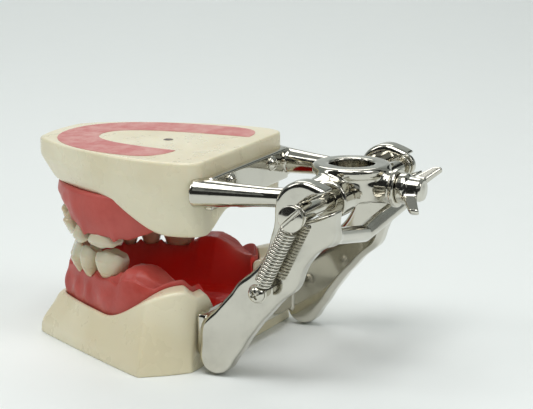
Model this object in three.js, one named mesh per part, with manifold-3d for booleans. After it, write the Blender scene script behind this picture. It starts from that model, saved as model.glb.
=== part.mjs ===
// Dental articulator: two jaw models on a sprung, hinged metal frame.
// Millimetres, +Z up. The teeth face -Y, the hinge is at +Y, the object is symmetric about X = 0.
import * as THREE from 'three';
import { mergeVertices } from 'three/addons/utils/BufferGeometryUtils.js';
import Module from 'manifold-3d';

// ---- driving dimensions -------------------------------------------------------------------------
const GROUND = -2;               // underside of the lower jaw base
const UPPER_TOP = 65;            // top of the upper jaw base
const OCCLUSAL_Z = 32.1;         // the level where the tooth rows meet
const BITE_GAP = 0.7;            // air between the tooth rows at rest
const SEAT_GAP = 0.3;            // air where one piece rests in another
const LOWER_HALF_W = 48;         // lower base at the heels, at the ground
const LOWER_FRONT = -73.6;
const UPPER_HALF_W = 34;
const UPPER_FRONT = -74.4;
const HEEL_BACK = -3.6;          // rear faces of both bases
const PIN_Y = 34.9;              // hinge shaft
const PIN_Z = 54;
const PIN_R = 2.6;
const PIN_CLEAR = 0.08;
const LUG_OUT = 36;              // outer faces of the two bracket plates
const LUG_T = 7;
const SLOT_RISE = 24 * Math.PI / 180;
const SLOT_TRAVEL = 3.5;
const SLOT_CLEAR = 0.2;
const EYE_R = 6.2;               // hinge barrels of the upper frame, beside its boss
const EYE_OUT = 17.5;
const SHAFT_IN = 10.2;           // inner ends of the hinge shafts
const SLOT_MOUTH = 14;           // the slots run out through the rear edges of the plates
const BOSS_Y = PIN_Y + 0.4;      // upright rod bore, a little behind the hinge line
const BOSS_R = 9.7;
const BOSS_RING_R = 12.6;
const BOSS_BORE_R = 7.3;
const BOSS_TOP = 63.2;
const BOSS_BOTTOM = 52;
const BARREL_R = 5.3;
const BARREL_Z = 56.4;
const BARREL_END = 50;
const SCREW_R = 2.5;             // wing screw thread
const POST_Y = 22.3;             // lower anchorage of the springs
const POST_Z = 28.6;
const SPRING_R = 2.8;            // coil outside radius
const WIRE_R = 0.45;
const SPRING_OUT = 5.6;          // spring line outside the plates
const SPRING_X = LUG_OUT + SPRING_OUT;
const COILS = 19;
const ROUND = 28;                // sides of a turned surface

// ---- finishes -----------------------------------------------------------------------------------
const IVORY = [0xf1ead0, 0.45, 0];
const GUM = [0xb8444a, 0.6, 0];
const INLAY = [0xcf7078, 0.55, 0];
const TOOTH = [0xe9e2cd, 0.3, 0];
const NICKEL = [0xc9c7c0, 0.18, 1];
const DARK = [0x4a4640, 0.5, 0.4];

const object = new THREE.Group();
const wasm = await Module();
wasm.setup();

// ---- helpers ------------------------------------------------------------------------------------
function bare(geometry) {
  const g = geometry.clone();
  g.deleteAttribute('normal');
  g.deleteAttribute('uv');
  return mergeVertices(g, 1e-4);
}

function toSolid(geometry) {
  const g = bare(geometry);
  return new wasm.Manifold(new wasm.Mesh({
    numProp: 3,
    vertProperties: new Float32Array(g.attributes.position.array),
    triVerts: new Uint32Array(g.index.array),
  }));
}

function fromSolid(solid) {
  const m = solid.getMesh();
  const g = new THREE.BufferGeometry();
  g.setAttribute('position', new THREE.BufferAttribute(new Float32Array(m.vertProperties), 3));
  g.setIndex(new THREE.BufferAttribute(new Uint32Array(m.triVerts), 1));
  return g;
}

const union = (geometries) => geometries.map(toSolid).reduce((a, b) => a.add(b));
const cut = (solid, geometries) => geometries.map(toSolid).reduce((a, b) => a.subtract(b), solid);

function add(name, geometry, finish) {
  const [color, roughness, metalness] = finish;
  const mesh = new THREE.Mesh(geometry, new THREE.MeshStandardMaterial({ color, roughness, metalness }));
  mesh.name = name;
  object.add(mesh);
}

// A turned solid about +Z: profile is a list of [radius, z] that starts and ends on the axis.
function turned(profile, sides = ROUND) {
  return new THREE.LatheGeometry(profile.map(([r, z]) => new THREE.Vector2(r, z)), sides)
    .rotateX(Math.PI / 2);
}

// A turned solid laid along a unit axis direction from a point; profile heights run along the axis.
function turnedAlong(profile, origin, direction, sides = ROUND) {
  const g = turned(profile, sides);
  const turn = new THREE.Quaternion().setFromUnitVectors(new THREE.Vector3(0, 0, 1), direction);
  return g.applyQuaternion(turn).translate(origin.x, origin.y, origin.z);
}

const V = (x, y, z) => new THREE.Vector3(x, y, z);
const AXIS = { x: V(1, 0, 0), y: V(0, 1, 0), z: V(0, 0, 1) };
const rod = (radius, from, to, sides = ROUND) => {
  const along = to.clone().sub(from);
  const length = along.length();
  return turnedAlong([[0, 0], [radius, 0], [radius, length], [0, length]], from, along.normalize(), sides);
};
const box = (sx, sy, sz, x, y, z) => new THREE.BoxGeometry(sx, sy, sz).translate(x, y, z);
const smooth = (x, a, b) => THREE.MathUtils.smoothstep(x, a, b);

// Closed solid from loops of equal length, the first and last closed over their own middle point.
function lofted(loops) {
  const n = loops[0].length;
  const points = [];
  const index = [];
  for (const loop of loops) {
    for (const p of loop) points.push(p.x, p.y, p.z);
  }
  const middle = (loop) => loop.reduce((s, p) => s.add(p), V(0, 0, 0)).divideScalar(loop.length);
  for (const loop of [loops[0], loops.at(-1)]) points.push(...middle(loop).toArray());
  for (let k = 0; k + 1 < loops.length; k++) {
    for (let i = 0; i < n; i++) {
      const j = (i + 1) % n;
      const [a, b, c, d] = [k * n + i, k * n + j, (k + 1) * n + j, (k + 1) * n + i];
      index.push(a, b, c, a, c, d);
    }
  }
  const first = loops.length * n;
  for (let i = 0; i < n; i++) {
    const j = (i + 1) % n;
    index.push(first, j, i);
    index.push(first + 1, (loops.length - 1) * n + i, (loops.length - 1) * n + j);
  }
  const g = new THREE.BufferGeometry();
  g.setAttribute('position', new THREE.Float32BufferAttribute(points, 3));
  g.setIndex(index);
  return g;
}

// Plan outline of a jaw base, anticlockwise from the middle of the rear edge.
// belly 0 gives straight sides that meet the heels in a corner, belly 1 full round sides.
function outline({ front, frontHalf, side, sideY, rearHalf, rear, belly = 1 }, n = 64) {
  const s = new THREE.Shape();
  const soft = 1.5;              // bow of the front edge
  const [fx, fy] = [frontHalf + 9 * belly + 1, front + soft + 5.5 * belly + 1.5];
  const [sx, sy] = [side - 1 + belly, sideY - 2 - 18 * belly];
  const heelX = rearHalf + (side - rearHalf) * (0.45 + 0.55 * belly);
  const heelY = rear + (sideY - rear) * 0.4 * (1 - belly);
  s.moveTo(0, rear);
  s.lineTo(-rearHalf, rear);
  s.quadraticCurveTo(-heelX, heelY, -side, sideY);
  s.bezierCurveTo(-sx, sy, -fx, fy, -frontHalf, front + soft);
  s.quadraticCurveTo(-frontHalf * 0.5, front, 0, front);
  s.quadraticCurveTo(frontHalf * 0.5, front, frontHalf, front + soft);
  s.bezierCurveTo(fx, fy, sx, sy, side, sideY);
  s.quadraticCurveTo(heelX, heelY, rearHalf, rear);
  s.lineTo(0, rear);
  return s.getSpacedPoints(n).slice(0, n);
}

const CENTRE_Y = -28;
const level = (points, z) => points.map((p) => V(p.x, p.y, z));
const scaled = (points, f) => points.map((p) => {
  const k = typeof f === 'function' ? f(p.x, p.y) : f;
  return new THREE.Vector2(p.x * k, CENTRE_Y + (p.y - CENTRE_Y) * k);
});

// ---- lower jaw ----------------------------------------------------------------------------------
const lowerFoot = outline({ front: LOWER_FRONT, frontHalf: 16, side: LOWER_HALF_W, sideY: -16.5,
  rearHalf: 36, rear: HEEL_BACK, belly: 0.12 });
const lowerRim = outline({ front: LOWER_FRONT + 4.8, frontHalf: 11, side: 40.5, sideY: -17.5,
  rearHalf: 31, rear: HEEL_BACK - 0.6, belly: 0.45 });
const LOWER_FLOOR = 9;
const RIM_FRONT = 11.5;          // height of the ivory rim at the front and at the heels
const RIM_HEEL = 24;
const heel = (x, y) => smooth(y, -40, -7) * smooth(Math.abs(x), 12, 26);
const rimZ = (x, y) => RIM_FRONT + (RIM_HEEL - RIM_FRONT) * heel(x, y) - 3 * smooth(y, -7, HEEL_BACK);
const seat = (x, y) => 0.95 - 0.17 * smooth(y, -34, -12) * smooth(Math.abs(x), 12, 26);
const lowerSeat = scaled(lowerRim, seat);
add('lower_base', lofted([
  level(scaled(lowerFoot, 0.985), GROUND),
  level(lowerFoot, GROUND + 1),
  level(scaled(lowerFoot, 0.99), GROUND + 5),
  lowerRim.map((p) => V(p.x, p.y, rimZ(p.x, p.y))),
  lowerRim.map((p, i) => V(lowerSeat[i].x, lowerSeat[i].y, rimZ(p.x, p.y))),
  level(scaled(lowerSeat, 0.995), LOWER_FLOOR),
]), IVORY);

// Height of the lower gum crest: level under the teeth, a swell behind the last tooth.
const LOWER_CREST = 24;
const CREST_Y = -32;
const SWELL = 3.4;
const LOWER_TONGUE = 13;
const lowerCrest = (x, y) => LOWER_CREST
  + SWELL * smooth(y, CREST_Y, CREST_Y + 5) * (1 - 0.7 * smooth(y, -20, -8));
const sideways = (x) => smooth(Math.abs(x), 8, 20);
const ridge = (x, y) => sideways(x) + (1 - smooth(y, -22, -9)) * (1 - sideways(x));
const lowerTop = (x, y) => LOWER_TONGUE + (lowerCrest(x, y) - LOWER_TONGUE) * ridge(x, y);
const gumEdge = scaled(lowerSeat, 0.985);
const gumLoop = (f, z) => scaled(gumEdge, f).map((p) => V(p.x, p.y, z(p.x, p.y)));
add('lower_gingiva', lofted([
  gumLoop(0.97, () => LOWER_FLOOR + SEAT_GAP),
  gumLoop(1, () => LOWER_FLOOR + SEAT_GAP + 0.4),
  gumEdge.map((p, i) => V(p.x, p.y, Math.max(rimZ(lowerRim[i].x, lowerRim[i].y) + 0.6, LOWER_FLOOR + 2))),
  gumLoop(0.99, (x, y) => Math.min(lowerTop(x, y) - 1.4, 20 + 5 * heel(x, y))),
  gumLoop(0.945, lowerTop),
  gumLoop(0.70, lowerTop),
  gumLoop(0.60, (x, y) => Math.min(lowerTop(x, y) - 3, 16)),
  gumLoop(0.42, () => LOWER_TONGUE - 1),
]), GUM);

// ---- upper jaw ----------------------------------------------------------------------------------
const upperRim = outline({ front: UPPER_FRONT, frontHalf: 12.5, side: UPPER_HALF_W, sideY: -17,
  rearHalf: 27, rear: HEEL_BACK });
const UNDER = 50.6;                // underside of the base over the gum
const LIP = 7;                   // height of the upright rim under the top face
const OVERHANG = 5.6;              // how far the rim stands out over the gum at the front
const HEEL_DROP = 10.3;
const upperHeel = (x, y) => smooth(y, -44, -14) * (0.45 + 0.55 * smooth(Math.abs(x), 10, 27));
const upperBorder = (x, y) => UNDER - HEEL_DROP * upperHeel(x, y);
const tuck = (loop, share) => loop.map((p) => new THREE.Vector2(p.x * (1 - 0.05 * share),
  p.y + OVERHANG * share * smooth(-p.y, 38, 70)));
const borderZ = (loop, rise) => loop.map((p, i) =>
  V(p.x, p.y, upperBorder(upperRim[i].x, upperRim[i].y) + rise));
const wallFoot = tuck(upperRim, 1);
const plugHole = [1.9, 1.7];     // vent hole and its plug
const PLUG_Y = -31;
const INLAY_DEPTH = 1.2;
let upperBase = toSolid(lofted([
  level(scaled(wallFoot, 0.5), UNDER + 1),
  borderZ(scaled(wallFoot, 0.56), 0),
  borderZ(scaled(wallFoot, 0.965), 0),
  borderZ(wallFoot, 1.4),
  level(tuck(upperRim, 0.1), UPPER_TOP - LIP),
  level(upperRim, UPPER_TOP - LIP + 1.5),
  level(upperRim, UPPER_TOP - 1),
  level(scaled(upperRim, 0.98), UPPER_TOP),
]));

// Horseshoe inlay in the top face: a band between two arches, its ends drawn inwards.
const INLAY_WAIST = -49;         // where its sides start to close towards the front
function horseshoe(outer, inner, [leftEnd, rightEnd]) {
  const s = new THREE.Shape();
  const [hw, fy] = outer;
  const [ihw, ify] = inner;
  s.moveTo(-ihw - 1, rightEnd);
  s.quadraticCurveTo(-hw, rightEnd, -hw, rightEnd - 12);
  s.bezierCurveTo(-hw, INLAY_WAIST, -hw * 0.7, fy, 0, fy);
  s.bezierCurveTo(hw * 0.7, fy, hw, INLAY_WAIST, hw, leftEnd - 12);
  s.quadraticCurveTo(hw, leftEnd, ihw + 1, leftEnd);
  s.bezierCurveTo(ihw, INLAY_WAIST + 10, ihw * 0.8, ify, 0, ify);
  s.bezierCurveTo(-ihw * 0.8, ify, -ihw, INLAY_WAIST + 10, -ihw - 1, rightEnd);
  s.closePath();
  return s;
}
const INLAY_OUT = [29, UPPER_FRONT + 5];
const INLAY_IN = [14.5, UPPER_FRONT + 18.4];
const INLAY_END = [-20, -9];     // rear ends of its left and right branch
const INLAY_GAP = 0.15;
const slab = (shape, from, height) => new THREE.ExtrudeGeometry(shape,
  { depth: height, bevelEnabled: false, curveSegments: 12 }).translate(0, 0, from);
const grown = (pair, by) => [pair[0] + by, pair[1] - by];
upperBase = cut(upperBase, [
  slab(horseshoe(grown(INLAY_OUT, INLAY_GAP), grown(INLAY_IN, -INLAY_GAP),
    INLAY_END.map((y) => y + INLAY_GAP)),
    UPPER_TOP - INLAY_DEPTH - 0.1, 3),
  rod(plugHole[0], V(0, PLUG_Y, UPPER_TOP - 6), V(0, PLUG_Y, UPPER_TOP + 1), 16),
]);
const inlayPlan = horseshoe(INLAY_OUT, INLAY_IN, INLAY_END);
add('upper_inlay', slab(inlayPlan, UPPER_TOP - INLAY_DEPTH, INLAY_DEPTH), INLAY);
add('vent_plug', rod(plugHole[1], V(0, PLUG_Y, UPPER_TOP - 5.7), V(0, PLUG_Y, UPPER_TOP - 1.6), 16), DARK);

// Upper gum: stands below the front of the base and runs back under its dropped corners.
const GUM_BACK = -19;
const GUM_MID = -43;
const VAULT = 48.6;
const upperGumFull = outline({ front: UPPER_FRONT + OVERHANG + 0.4, frontHalf: 11, side: 30,
  sideY: GUM_BACK - 12,
  rearHalf: 22, rear: GUM_BACK });
const upperMargin = (x, y) => 37.4 + 7.6 * smooth(-y, 46, 66);
const gumTopZ = UNDER + 1 - SEAT_GAP;
const arched = (x, y, z) => z + (VAULT - z) * (1 - sideways(x)) * smooth(y, -50, -38);
const scaledAbout = (points, f) => points.map((p) => new THREE.Vector2(p.x * f,
  Math.min(GUM_MID + (p.y - GUM_MID) * f, GUM_BACK)));
const rearLift = (x, y) => 3.4 * smooth(y, -31, GUM_BACK);
const upperLoop = (f, z) => scaledAbout(upperGumFull, f).map((p) =>
  V(p.x, p.y, arched(p.x, p.y, z(p.x, p.y) + rearLift(p.x, p.y))));
const upperGumBlank = lofted([
  level(scaledAbout(upperGumFull, 0.4), VAULT),
  upperLoop(0.58, (x, y) => upperMargin(x, y) + 4),
  upperLoop(0.68, upperMargin),
  upperLoop(0.93, upperMargin),
  upperLoop(0.99, (x, y) => upperMargin(x, y) + 1.6),
  level(upperGumFull, gumTopZ - 4),
  level(scaledAbout(upperGumFull, 0.985), gumTopZ - 0.6),
  level(scaledAbout(upperGumFull, 0.96), gumTopZ),
]);
const gapMoves = [[0, 0, 0], [0, -SEAT_GAP, 0], [0, 0, -SEAT_GAP], [SEAT_GAP, 0, 0], [-SEAT_GAP, 0, 0]];
const upperGum = gapMoves.reduce((gum, move) => gum.subtract(upperBase.translate(move)),
  toSolid(upperGumBlank));
const main = (solid) => solid.decompose().sort((a, b) => b.volume() - a.volume())[0];
add('upper_gingiva', fromSolid(main(upperGum)), GUM);

// ---- teeth --------------------------------------------------------------------------------------
// A tooth stands on its own gum plane at z, `tall` positive upwards, negative for the upper row.
function tooth({ x, y, yaw, wide, deep, z, tall, edge, taper, lean }) {
  const n = 14;
  const ring = (w, d, h, shift = 0) => Array.from({ length: n }, (_, i) => {
    const a = 2 * Math.PI * i / n;
    const c = Math.cos(a);
    const s = Math.sin(a);
    const square = 1 / Math.pow(Math.pow(Math.abs(c), 3.2) + Math.pow(Math.abs(s), 3.2), 1 / 3.2);
    return V(w / 2 * c * square, d / 2 * s * square + shift, h);
  });
  const t = tall;
  const loops = [
    ring(wide * taper * 0.9, deep * 0.78, 0),
    ring(wide * taper, deep * 0.86, t * 0.12),
    ring(wide * 0.97, deep, t * 0.5, -0.2),
    ring(wide, deep * (0.45 + 0.5 * edge), t * 0.86, -0.1 - lean),
    ring(wide * 0.86, deep * (0.12 + 0.6 * edge), t, -lean),
  ];
  if (tall < 0) loops.reverse();
  return lofted(loops).rotateZ(yaw).translate(x, y, z);
}

// Tooth rows: width, depth, edge fatness and neck taper from the midline to the last tooth.
const ROW = [
  { name: 'central', upper: 8.2, lower: 6.4, deep: 6.4, edge: 0, taper: 0.8 },
  { name: 'lateral', upper: 6.6, lower: 6.8, deep: 6.2, edge: 0, taper: 0.78 },
  { name: 'canine', upper: 7.6, lower: 7.6, deep: 7.2, edge: 0.15, taper: 0.78 },
  { name: 'premolar', upper: 7.2, lower: 7.6, deep: 8.2, edge: 0.8, taper: 0.8 },
  { name: 'molar', upper: 12, lower: 12, deep: 9.6, edge: 1, taper: 0.76 },
];
const TOOTH_GAP = 0.25;
function arch(half, front, back) {
  const corners = [[0, front], [half * 0.72, front], [half, front + 15], [half, back]];
  return new THREE.CubicBezierCurve(...corners.map(([x, y]) => new THREE.Vector2(x, y)));
}
function placeRow(jaw, curve, gumZ, tip, leanOut) {
  const length = curve.getLength();
  let at = TOOTH_GAP / 2;
  for (const kind of ROW) {
    const wide = kind[jaw];
    const u = (at + wide / 2) / length;
    const p = curve.getPointAt(u);
    const dir = curve.getTangentAt(u);
    const yaw = Math.atan2(dir.y, dir.x);
    for (const [label, sign] of [['left', 1], ['right', -1]]) {
      const z = gumZ(p.x, p.y);
      add(`${jaw}_${kind.name}_${label}`, tooth({ x: sign * p.x, y: p.y, yaw: sign * yaw, wide,
        deep: kind.deep * (jaw === 'upper' ? 1 : 0.94), z, tall: tip(p.x, p.y) - z, edge: kind.edge,
        taper: kind.taper, lean: kind.edge > 0.5 ? 0 : leanOut }), TOOTH);
    }
    at += wide + TOOTH_GAP;
  }
}
const STAND = 0.25;              // air between each tooth and its gum plane
const FOOTPRINT = 4;             // half the length of gum that one tooth covers
const FRONT_OPEN = 2.6;          // the upper front teeth stop this far above the level of the back ones
placeRow('upper', arch(25, -64.6, -30), (x, y) => upperMargin(x, y + FOOTPRINT) - STAND,
  (x, y) => OCCLUSAL_Z + BITE_GAP / 2 + FRONT_OPEN * smooth(-y, 49, 65), 0.9);
placeRow('lower', arch(24.5, -62, -25), () => LOWER_CREST + STAND, () => OCCLUSAL_Z - BITE_GAP / 2, 0.3);

// ---- lower bracket ------------------------------------------------------------------------------
const PLATE_BEVEL = 1.1;
// Outline round two circles in the Y-Z plane, as points.
function belt(a, b, sides = 8) {
  const angle = Math.atan2(b[1] - a[1], b[0] - a[0]);
  const lean = Math.acos((a[2] - b[2]) / Math.hypot(b[0] - a[0], b[1] - a[1]));
  const arc = (c, from, to) => Array.from({ length: sides + 1 }, (_, i) => {
    const t = from + (to - from) * i / sides;
    return new THREE.Vector2(c[0] + c[2] * Math.cos(t), c[1] + c[2] * Math.sin(t));
  });
  return [...arc(b, angle - lean, angle + lean), ...arc(a, angle + lean, angle + 2 * Math.PI - lean)];
}
// A belt extruded along X with rounded rims, its inner face at x and `thick` deep outward.
function plateLink(a, b, x, thick) {
  const inset = (c) => [c[0], c[1], c[2] - PLATE_BEVEL];
  const g = new THREE.ExtrudeGeometry(new THREE.Shape(belt(inset(a), inset(b))), {
    depth: thick - 2 * PLATE_BEVEL,
    bevelEnabled: true,
    bevelThickness: PLATE_BEVEL, bevelSize: PLATE_BEVEL, bevelSegments: 1 });
  const turn = new THREE.Matrix4().makeBasis(V(0, 1, 0), V(0, 0, 1), V(1, 0, 0));
  return g.applyMatrix4(turn).translate(x + PLATE_BEVEL, 0, 0);
}
const SLOT_END = [PIN_Y + SLOT_TRAVEL * Math.cos(SLOT_RISE), PIN_Z + SLOT_TRAVEL * Math.sin(SLOT_RISE)];
const LEG = [                    // Y, Z and radius of the plate down one side, from foot to hinge
  [4.4, 4.4, 6.2],
  [6.8, 11.4, 7.7],
  [17.8, 25, 7],
  [26.2, 33, 6.9],
  [30.6, 43, 7],
  [PIN_Y - 0.6, PIN_Z + 0.4, 9.2],
  [SLOT_END[0] + 0.5, SLOT_END[1] - 0.2, 6.9],
];
const mirrored = (g) => {
  const m = g.clone().scale(-1, 1, 1);
  const count = m.attributes.position.count;
  const index = m.index ? m.index.array : Uint32Array.from({ length: count }, (_, i) => i);
  const flipped = [];
  for (let i = 0; i < index.length; i += 3) flipped.push(index[i], index[i + 2], index[i + 1]);
  m.setIndex(flipped);
  return m;
};
const bothSides = (list) => list.flatMap((g) => [g, mirrored(g)]);
const WEB_ROOT = [PIN_Y + 5.4, PIN_Z - 5.8, 4.9];
const legLinks = LEG.slice(1).map((c, i) => plateLink(LEG[i], c, LUG_OUT - LUG_T, LUG_T));
for (const from of [LEG[4], LEG[6]]) legLinks.push(plateLink(from, WEB_ROOT, LUG_OUT - LUG_T, LUG_T));
const WEB_Y = 39.6;              // middle of the web that joins the two plates
const WEB_Z = 40.4;
const WEB_SECTION = [3, 2.4];    // half sizes of the web bar
const webEnd = V(LUG_OUT - LUG_T + 3, WEB_ROOT[0] + 2, WEB_ROOT[1] - 2);
const webBar = new THREE.ExtrudeGeometry(
  new THREE.Shape([[-1, -1], [1, -1], [1, 1], [-1, 1]].map(([a, b]) =>
    new THREE.Vector2(a * WEB_SECTION[0], b * WEB_SECTION[1]))),
  { steps: 1, bevelEnabled: false, extrudePath: new THREE.LineCurve3(V(-3.4, WEB_Y, WEB_Z), webEnd) });
const PLATE_Y = [HEEL_BACK + 0.3, HEEL_BACK + 4.3]; // cross plates behind the jaws
const cross = (width, z0, z1, y0, y1) => box(width, y1 - y0, z1 - z0, 0, (y0 + y1) / 2, (z0 + z1) / 2);
const POST_R = 2.1;
const POST_HEAD_R = 2.95;
const post = rod(POST_R, V(LUG_OUT - 3, POST_Y, POST_Z), V(SPRING_X + 0.8, POST_Y, POST_Z), 16);
let bracket = union(bothSides([...legLinks, webBar, post]))
  .add(toSolid(cross(2 * LUG_OUT - 5, 3.5, 17, PLATE_Y[0], PLATE_Y[1])));
const slotR = PIN_R + SLOT_CLEAR;
const mouth = [PIN_Y + SLOT_MOUTH * Math.cos(SLOT_RISE), PIN_Z + SLOT_MOUTH * Math.sin(SLOT_RISE)];
const slotCut = plateCut([PIN_Y, PIN_Z, slotR], [...mouth, slotR + 0.01]);
function plateCut(a, b) {
  const g = new THREE.ExtrudeGeometry(new THREE.Shape(belt(a, b)), { depth: LUG_T + 4, bevelEnabled: false });
  const turn = new THREE.Matrix4().makeBasis(V(0, 1, 0), V(0, 0, 1), V(1, 0, 0));
  return g.applyMatrix4(turn).translate(LUG_OUT - LUG_T - 2, 0, 0);
}
const JAW_SCREWS = [-15, 15];    // sideways places of the screws that hold a jaw
const SHANK_R = 1.5;
const LOWER_SCREW_Z = 10;
const shankHoles = (z) => JAW_SCREWS.map((x) =>
  rod(SHANK_R + 0.1, V(x, PLATE_Y[0] - 1, z), V(x, PLATE_Y[1] + 1, z), 14));
bracket = cut(bracket, [...bothSides([slotCut]), ...shankHoles(LOWER_SCREW_Z)]);
add('lower_bracket', fromSolid(bracket), NICKEL);

// Pan-head screw along an axis: domed head with a cross recess, short shank behind it.
function panScrew(origin, direction, headR, headH, shankL) {
  const body = turnedAlong([[0, -shankL], [SHANK_R, -shankL], [SHANK_R, 0], [headR, 0], [headR, headH * 0.45],
    [headR * 0.82, headH * 0.85], [headR * 0.4, headH], [0, headH]], origin, direction, 20);
  const tipAt = origin.clone().addScaledVector(direction, headH);
  const side = direction.x > 0.5 || direction.x < -0.5 ? AXIS.y : AXIS.x;
  const other = direction.clone().cross(side);
  const bar = (u) => {
    const w = direction.clone().cross(u);
    const m = new THREE.Matrix4().makeBasis(u, w, direction.clone());
    return new THREE.BoxGeometry(headR * 1.15, 0.8, headH * 0.9).applyMatrix4(
      m.determinant() < 0 ? m.makeBasis(w, u, direction.clone()) : m).translate(...tipAt.toArray());
  };
  return fromSolid(cut(toSolid(body), [fused([bar(side), bar(other)])]));
}
const fused = (list) => fromSolid(union(list));
for (const [i, x] of JAW_SCREWS.entries()) {
  add(`lower_jaw_screw_${i + 1}`,
    panScrew(V(x, PLATE_Y[1] + 0.02, LOWER_SCREW_Z), AXIS.y, 2.9, 2, 3.9), NICKEL);
}
for (const [label, sign] of [['left', 1], ['right', -1]]) {
  const at = V(sign * (SPRING_X + 0.82), POST_Y, POST_Z);
  const dir = V(sign, 0, 0);
  const head = turnedAlong([[0, 0], [POST_HEAD_R, 0], [POST_HEAD_R, 0.9], [2.4, 1.7], [1.2, 2], [0, 2]],
    at, dir, 20);
  const recess = at.x + sign * 2.4;
  const bars = [box(3, 3.4, 0.8, recess, POST_Y, POST_Z), box(3, 0.8, 3.4, recess, POST_Y, POST_Z)];
  add(`spring_post_screw_${label}`, fromSolid(cut(toSolid(head), [fused(bars)])), NICKEL);
}

// ---- upper frame --------------------------------------------------------------------------------
const ARM_R = [4.9, 3.1];        // at the jaw and at the hinge
const ARM_JAW = V(29.6, HEEL_BACK - 2.6, 55.3);
const ARM_HINGE = V(24.6, 24, 55.4);
const armAlong = ARM_HINGE.clone().sub(ARM_JAW).normalize();
const armLength = ARM_JAW.distanceTo(ARM_HINGE);
const armProfile = (grow) => [[0, -grow], [ARM_R[0] - 0.6 + grow, -grow], [ARM_R[0] + grow, 0.8],
  [ARM_R[0] - 0.5 + grow, 5], [ARM_R[1] + 0.5 + grow, armLength * 0.55], [ARM_R[1] + grow, armLength * 0.85],
  [ARM_R[1] + grow, armLength + 6], [0, armLength + 6]];
const armAt = (grow) => turnedAlong(armProfile(grow), ARM_JAW, armAlong, 24);
const arm = armAt(0);
const eye = rod(EYE_R, V(8, PIN_Y, PIN_Z), V(EYE_OUT, PIN_Y, PIN_Z), 24);
const elbowFrom = V(6, PIN_Y - 2.4, 57.6);
const elbowTo = ARM_HINGE.clone().addScaledVector(armAlong, 4.5);
const elbowLength = elbowFrom.distanceTo(elbowTo);
const shoulder = turnedAlong([[0, 0], [5.2, 0], [3.5, elbowLength], [2.4, elbowLength + 2],
  [0, elbowLength + 2]],
  elbowFrom, elbowTo.clone().sub(elbowFrom).normalize(), 24);
const RING_T = 3.6;
const boss = turned([[0, BOSS_BOTTOM], [BOSS_R - 0.8, BOSS_BOTTOM], [BOSS_R, BOSS_BOTTOM + 0.8],
  [BOSS_R, BOSS_TOP - RING_T - 0.6], [BOSS_RING_R - 0.7, BOSS_TOP - RING_T],
  [BOSS_RING_R, BOSS_TOP - RING_T + 0.9],
  [BOSS_RING_R, BOSS_TOP - 0.9], [BOSS_RING_R - 0.9, BOSS_TOP], [0, BOSS_TOP]], 40).translate(0, BOSS_Y, 0);
const barrel = rod(BARREL_R, V(0, PIN_Y, BARREL_Z), V(0, BARREL_END, BARREL_Z), 24);
const UPPER_PLATE_Z = [49.4, 60];
const UPPER_SCREW_Z = 56.8;
let frame = union(bothSides([arm, eye, shoulder])).add(toSolid(boss)).add(toSolid(barrel))
  .add(toSolid(cross(56, UPPER_PLATE_Z[0], UPPER_PLATE_Z[1], PLATE_Y[0], PLATE_Y[1] - 1)));
const pinHole = rod(PIN_R + PIN_CLEAR, V(SHAFT_IN - 0.4, PIN_Y, PIN_Z), V(ARM_HINGE.x + 6, PIN_Y, PIN_Z),
  32);
const upperHoles = shankHoles(UPPER_SCREW_Z);
frame = cut(frame, [...bothSides([pinHole]), ...upperHoles,
  rod(BOSS_BORE_R, V(0, BOSS_Y, BOSS_BOTTOM - 1), V(0, BOSS_Y, BOSS_TOP + 1), 48),
  rod(SCREW_R + 0.1, V(0, PIN_Y, BARREL_Z), V(0, BARREL_END + 1, BARREL_Z), 24)]);
add('upper_frame', fromSolid(frame), NICKEL);
add('upper_base', fromSolid(cut(upperBase, bothSides([armAt(SEAT_GAP)]))), IVORY);
for (const [i, x] of JAW_SCREWS.entries()) {
  add(`upper_jaw_screw_${i + 1}`,
    panScrew(V(x, PLATE_Y[1] - 0.98, UPPER_SCREW_Z), AXIS.y, 2.7, 1.9, 2.9), NICKEL);
}

// ---- hinge shafts -------------------------------------------------------------------------------
const HEAD_X = SPRING_X + 1.7;
const SHAFT_HEAD_R = 4.1;
for (const [label, sign] of [['left', 1], ['right', -1]]) {
  const dir = V(sign, 0, 0);
  const start = V(sign * SHAFT_IN, PIN_Y, PIN_Z);
  const reach = HEAD_X - SHAFT_IN;
  const shaft = turnedAlong([[0, 0], [PIN_R, 0], [PIN_R, reach], [SHAFT_HEAD_R, reach],
    [SHAFT_HEAD_R, reach + 1.5],
    [SHAFT_HEAD_R - 0.7, reach + 2.5], [0, reach + 2.7]], start, dir, 32);
  const slot = box(2.4, 9, 1.1, sign * (HEAD_X + 2.7), 0, 0).rotateX(0.9).translate(0, PIN_Y, PIN_Z);
  add(`hinge_shaft_${label}`, fromSolid(cut(toSolid(shaft), [slot])), NICKEL);
}

// ---- springs ------------------------------------------------------------------------------------
// Close-wound coil between the shaft and the post, one loop of wire at each end.
const pinAt = V(SPRING_X, PIN_Y, PIN_Z);
const postAt = V(SPRING_X, POST_Y, POST_Z);
const down = postAt.clone().sub(pinAt).normalize();
const HOOK_R = PIN_R + WIRE_R + 0.5;
const POST_HOOK_R = POST_R + WIRE_R + 0.35;
const onLine = (t) => pinAt.clone().addScaledVector(down, t);
const wireTo = (a, b) => rod(WIRE_R, onLine(Math.min(a, b) - 0.2), onLine(Math.max(a, b) + 0.2), 8);
function ring(radius, centre) {
  return new THREE.TorusGeometry(radius, WIRE_R, 5, 16).rotateY(Math.PI / 2)
    .translate(centre.x, centre.y, centre.z);
}
const coilStart = SHAFT_HEAD_R + 0.5;
const coilLength = pinAt.distanceTo(postAt) - coilStart - POST_HEAD_R - 0.5;
const pitch = coilLength / COILS;
const ribs = [[0, 0]];
for (let i = 0; i < COILS; i++) {
  ribs.push([SPRING_R - WIRE_R * 0.9, i * pitch], [SPRING_R, (i + 0.5) * pitch]);
}
ribs.push([SPRING_R - WIRE_R * 0.9, coilLength], [0, coilLength]);
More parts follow.
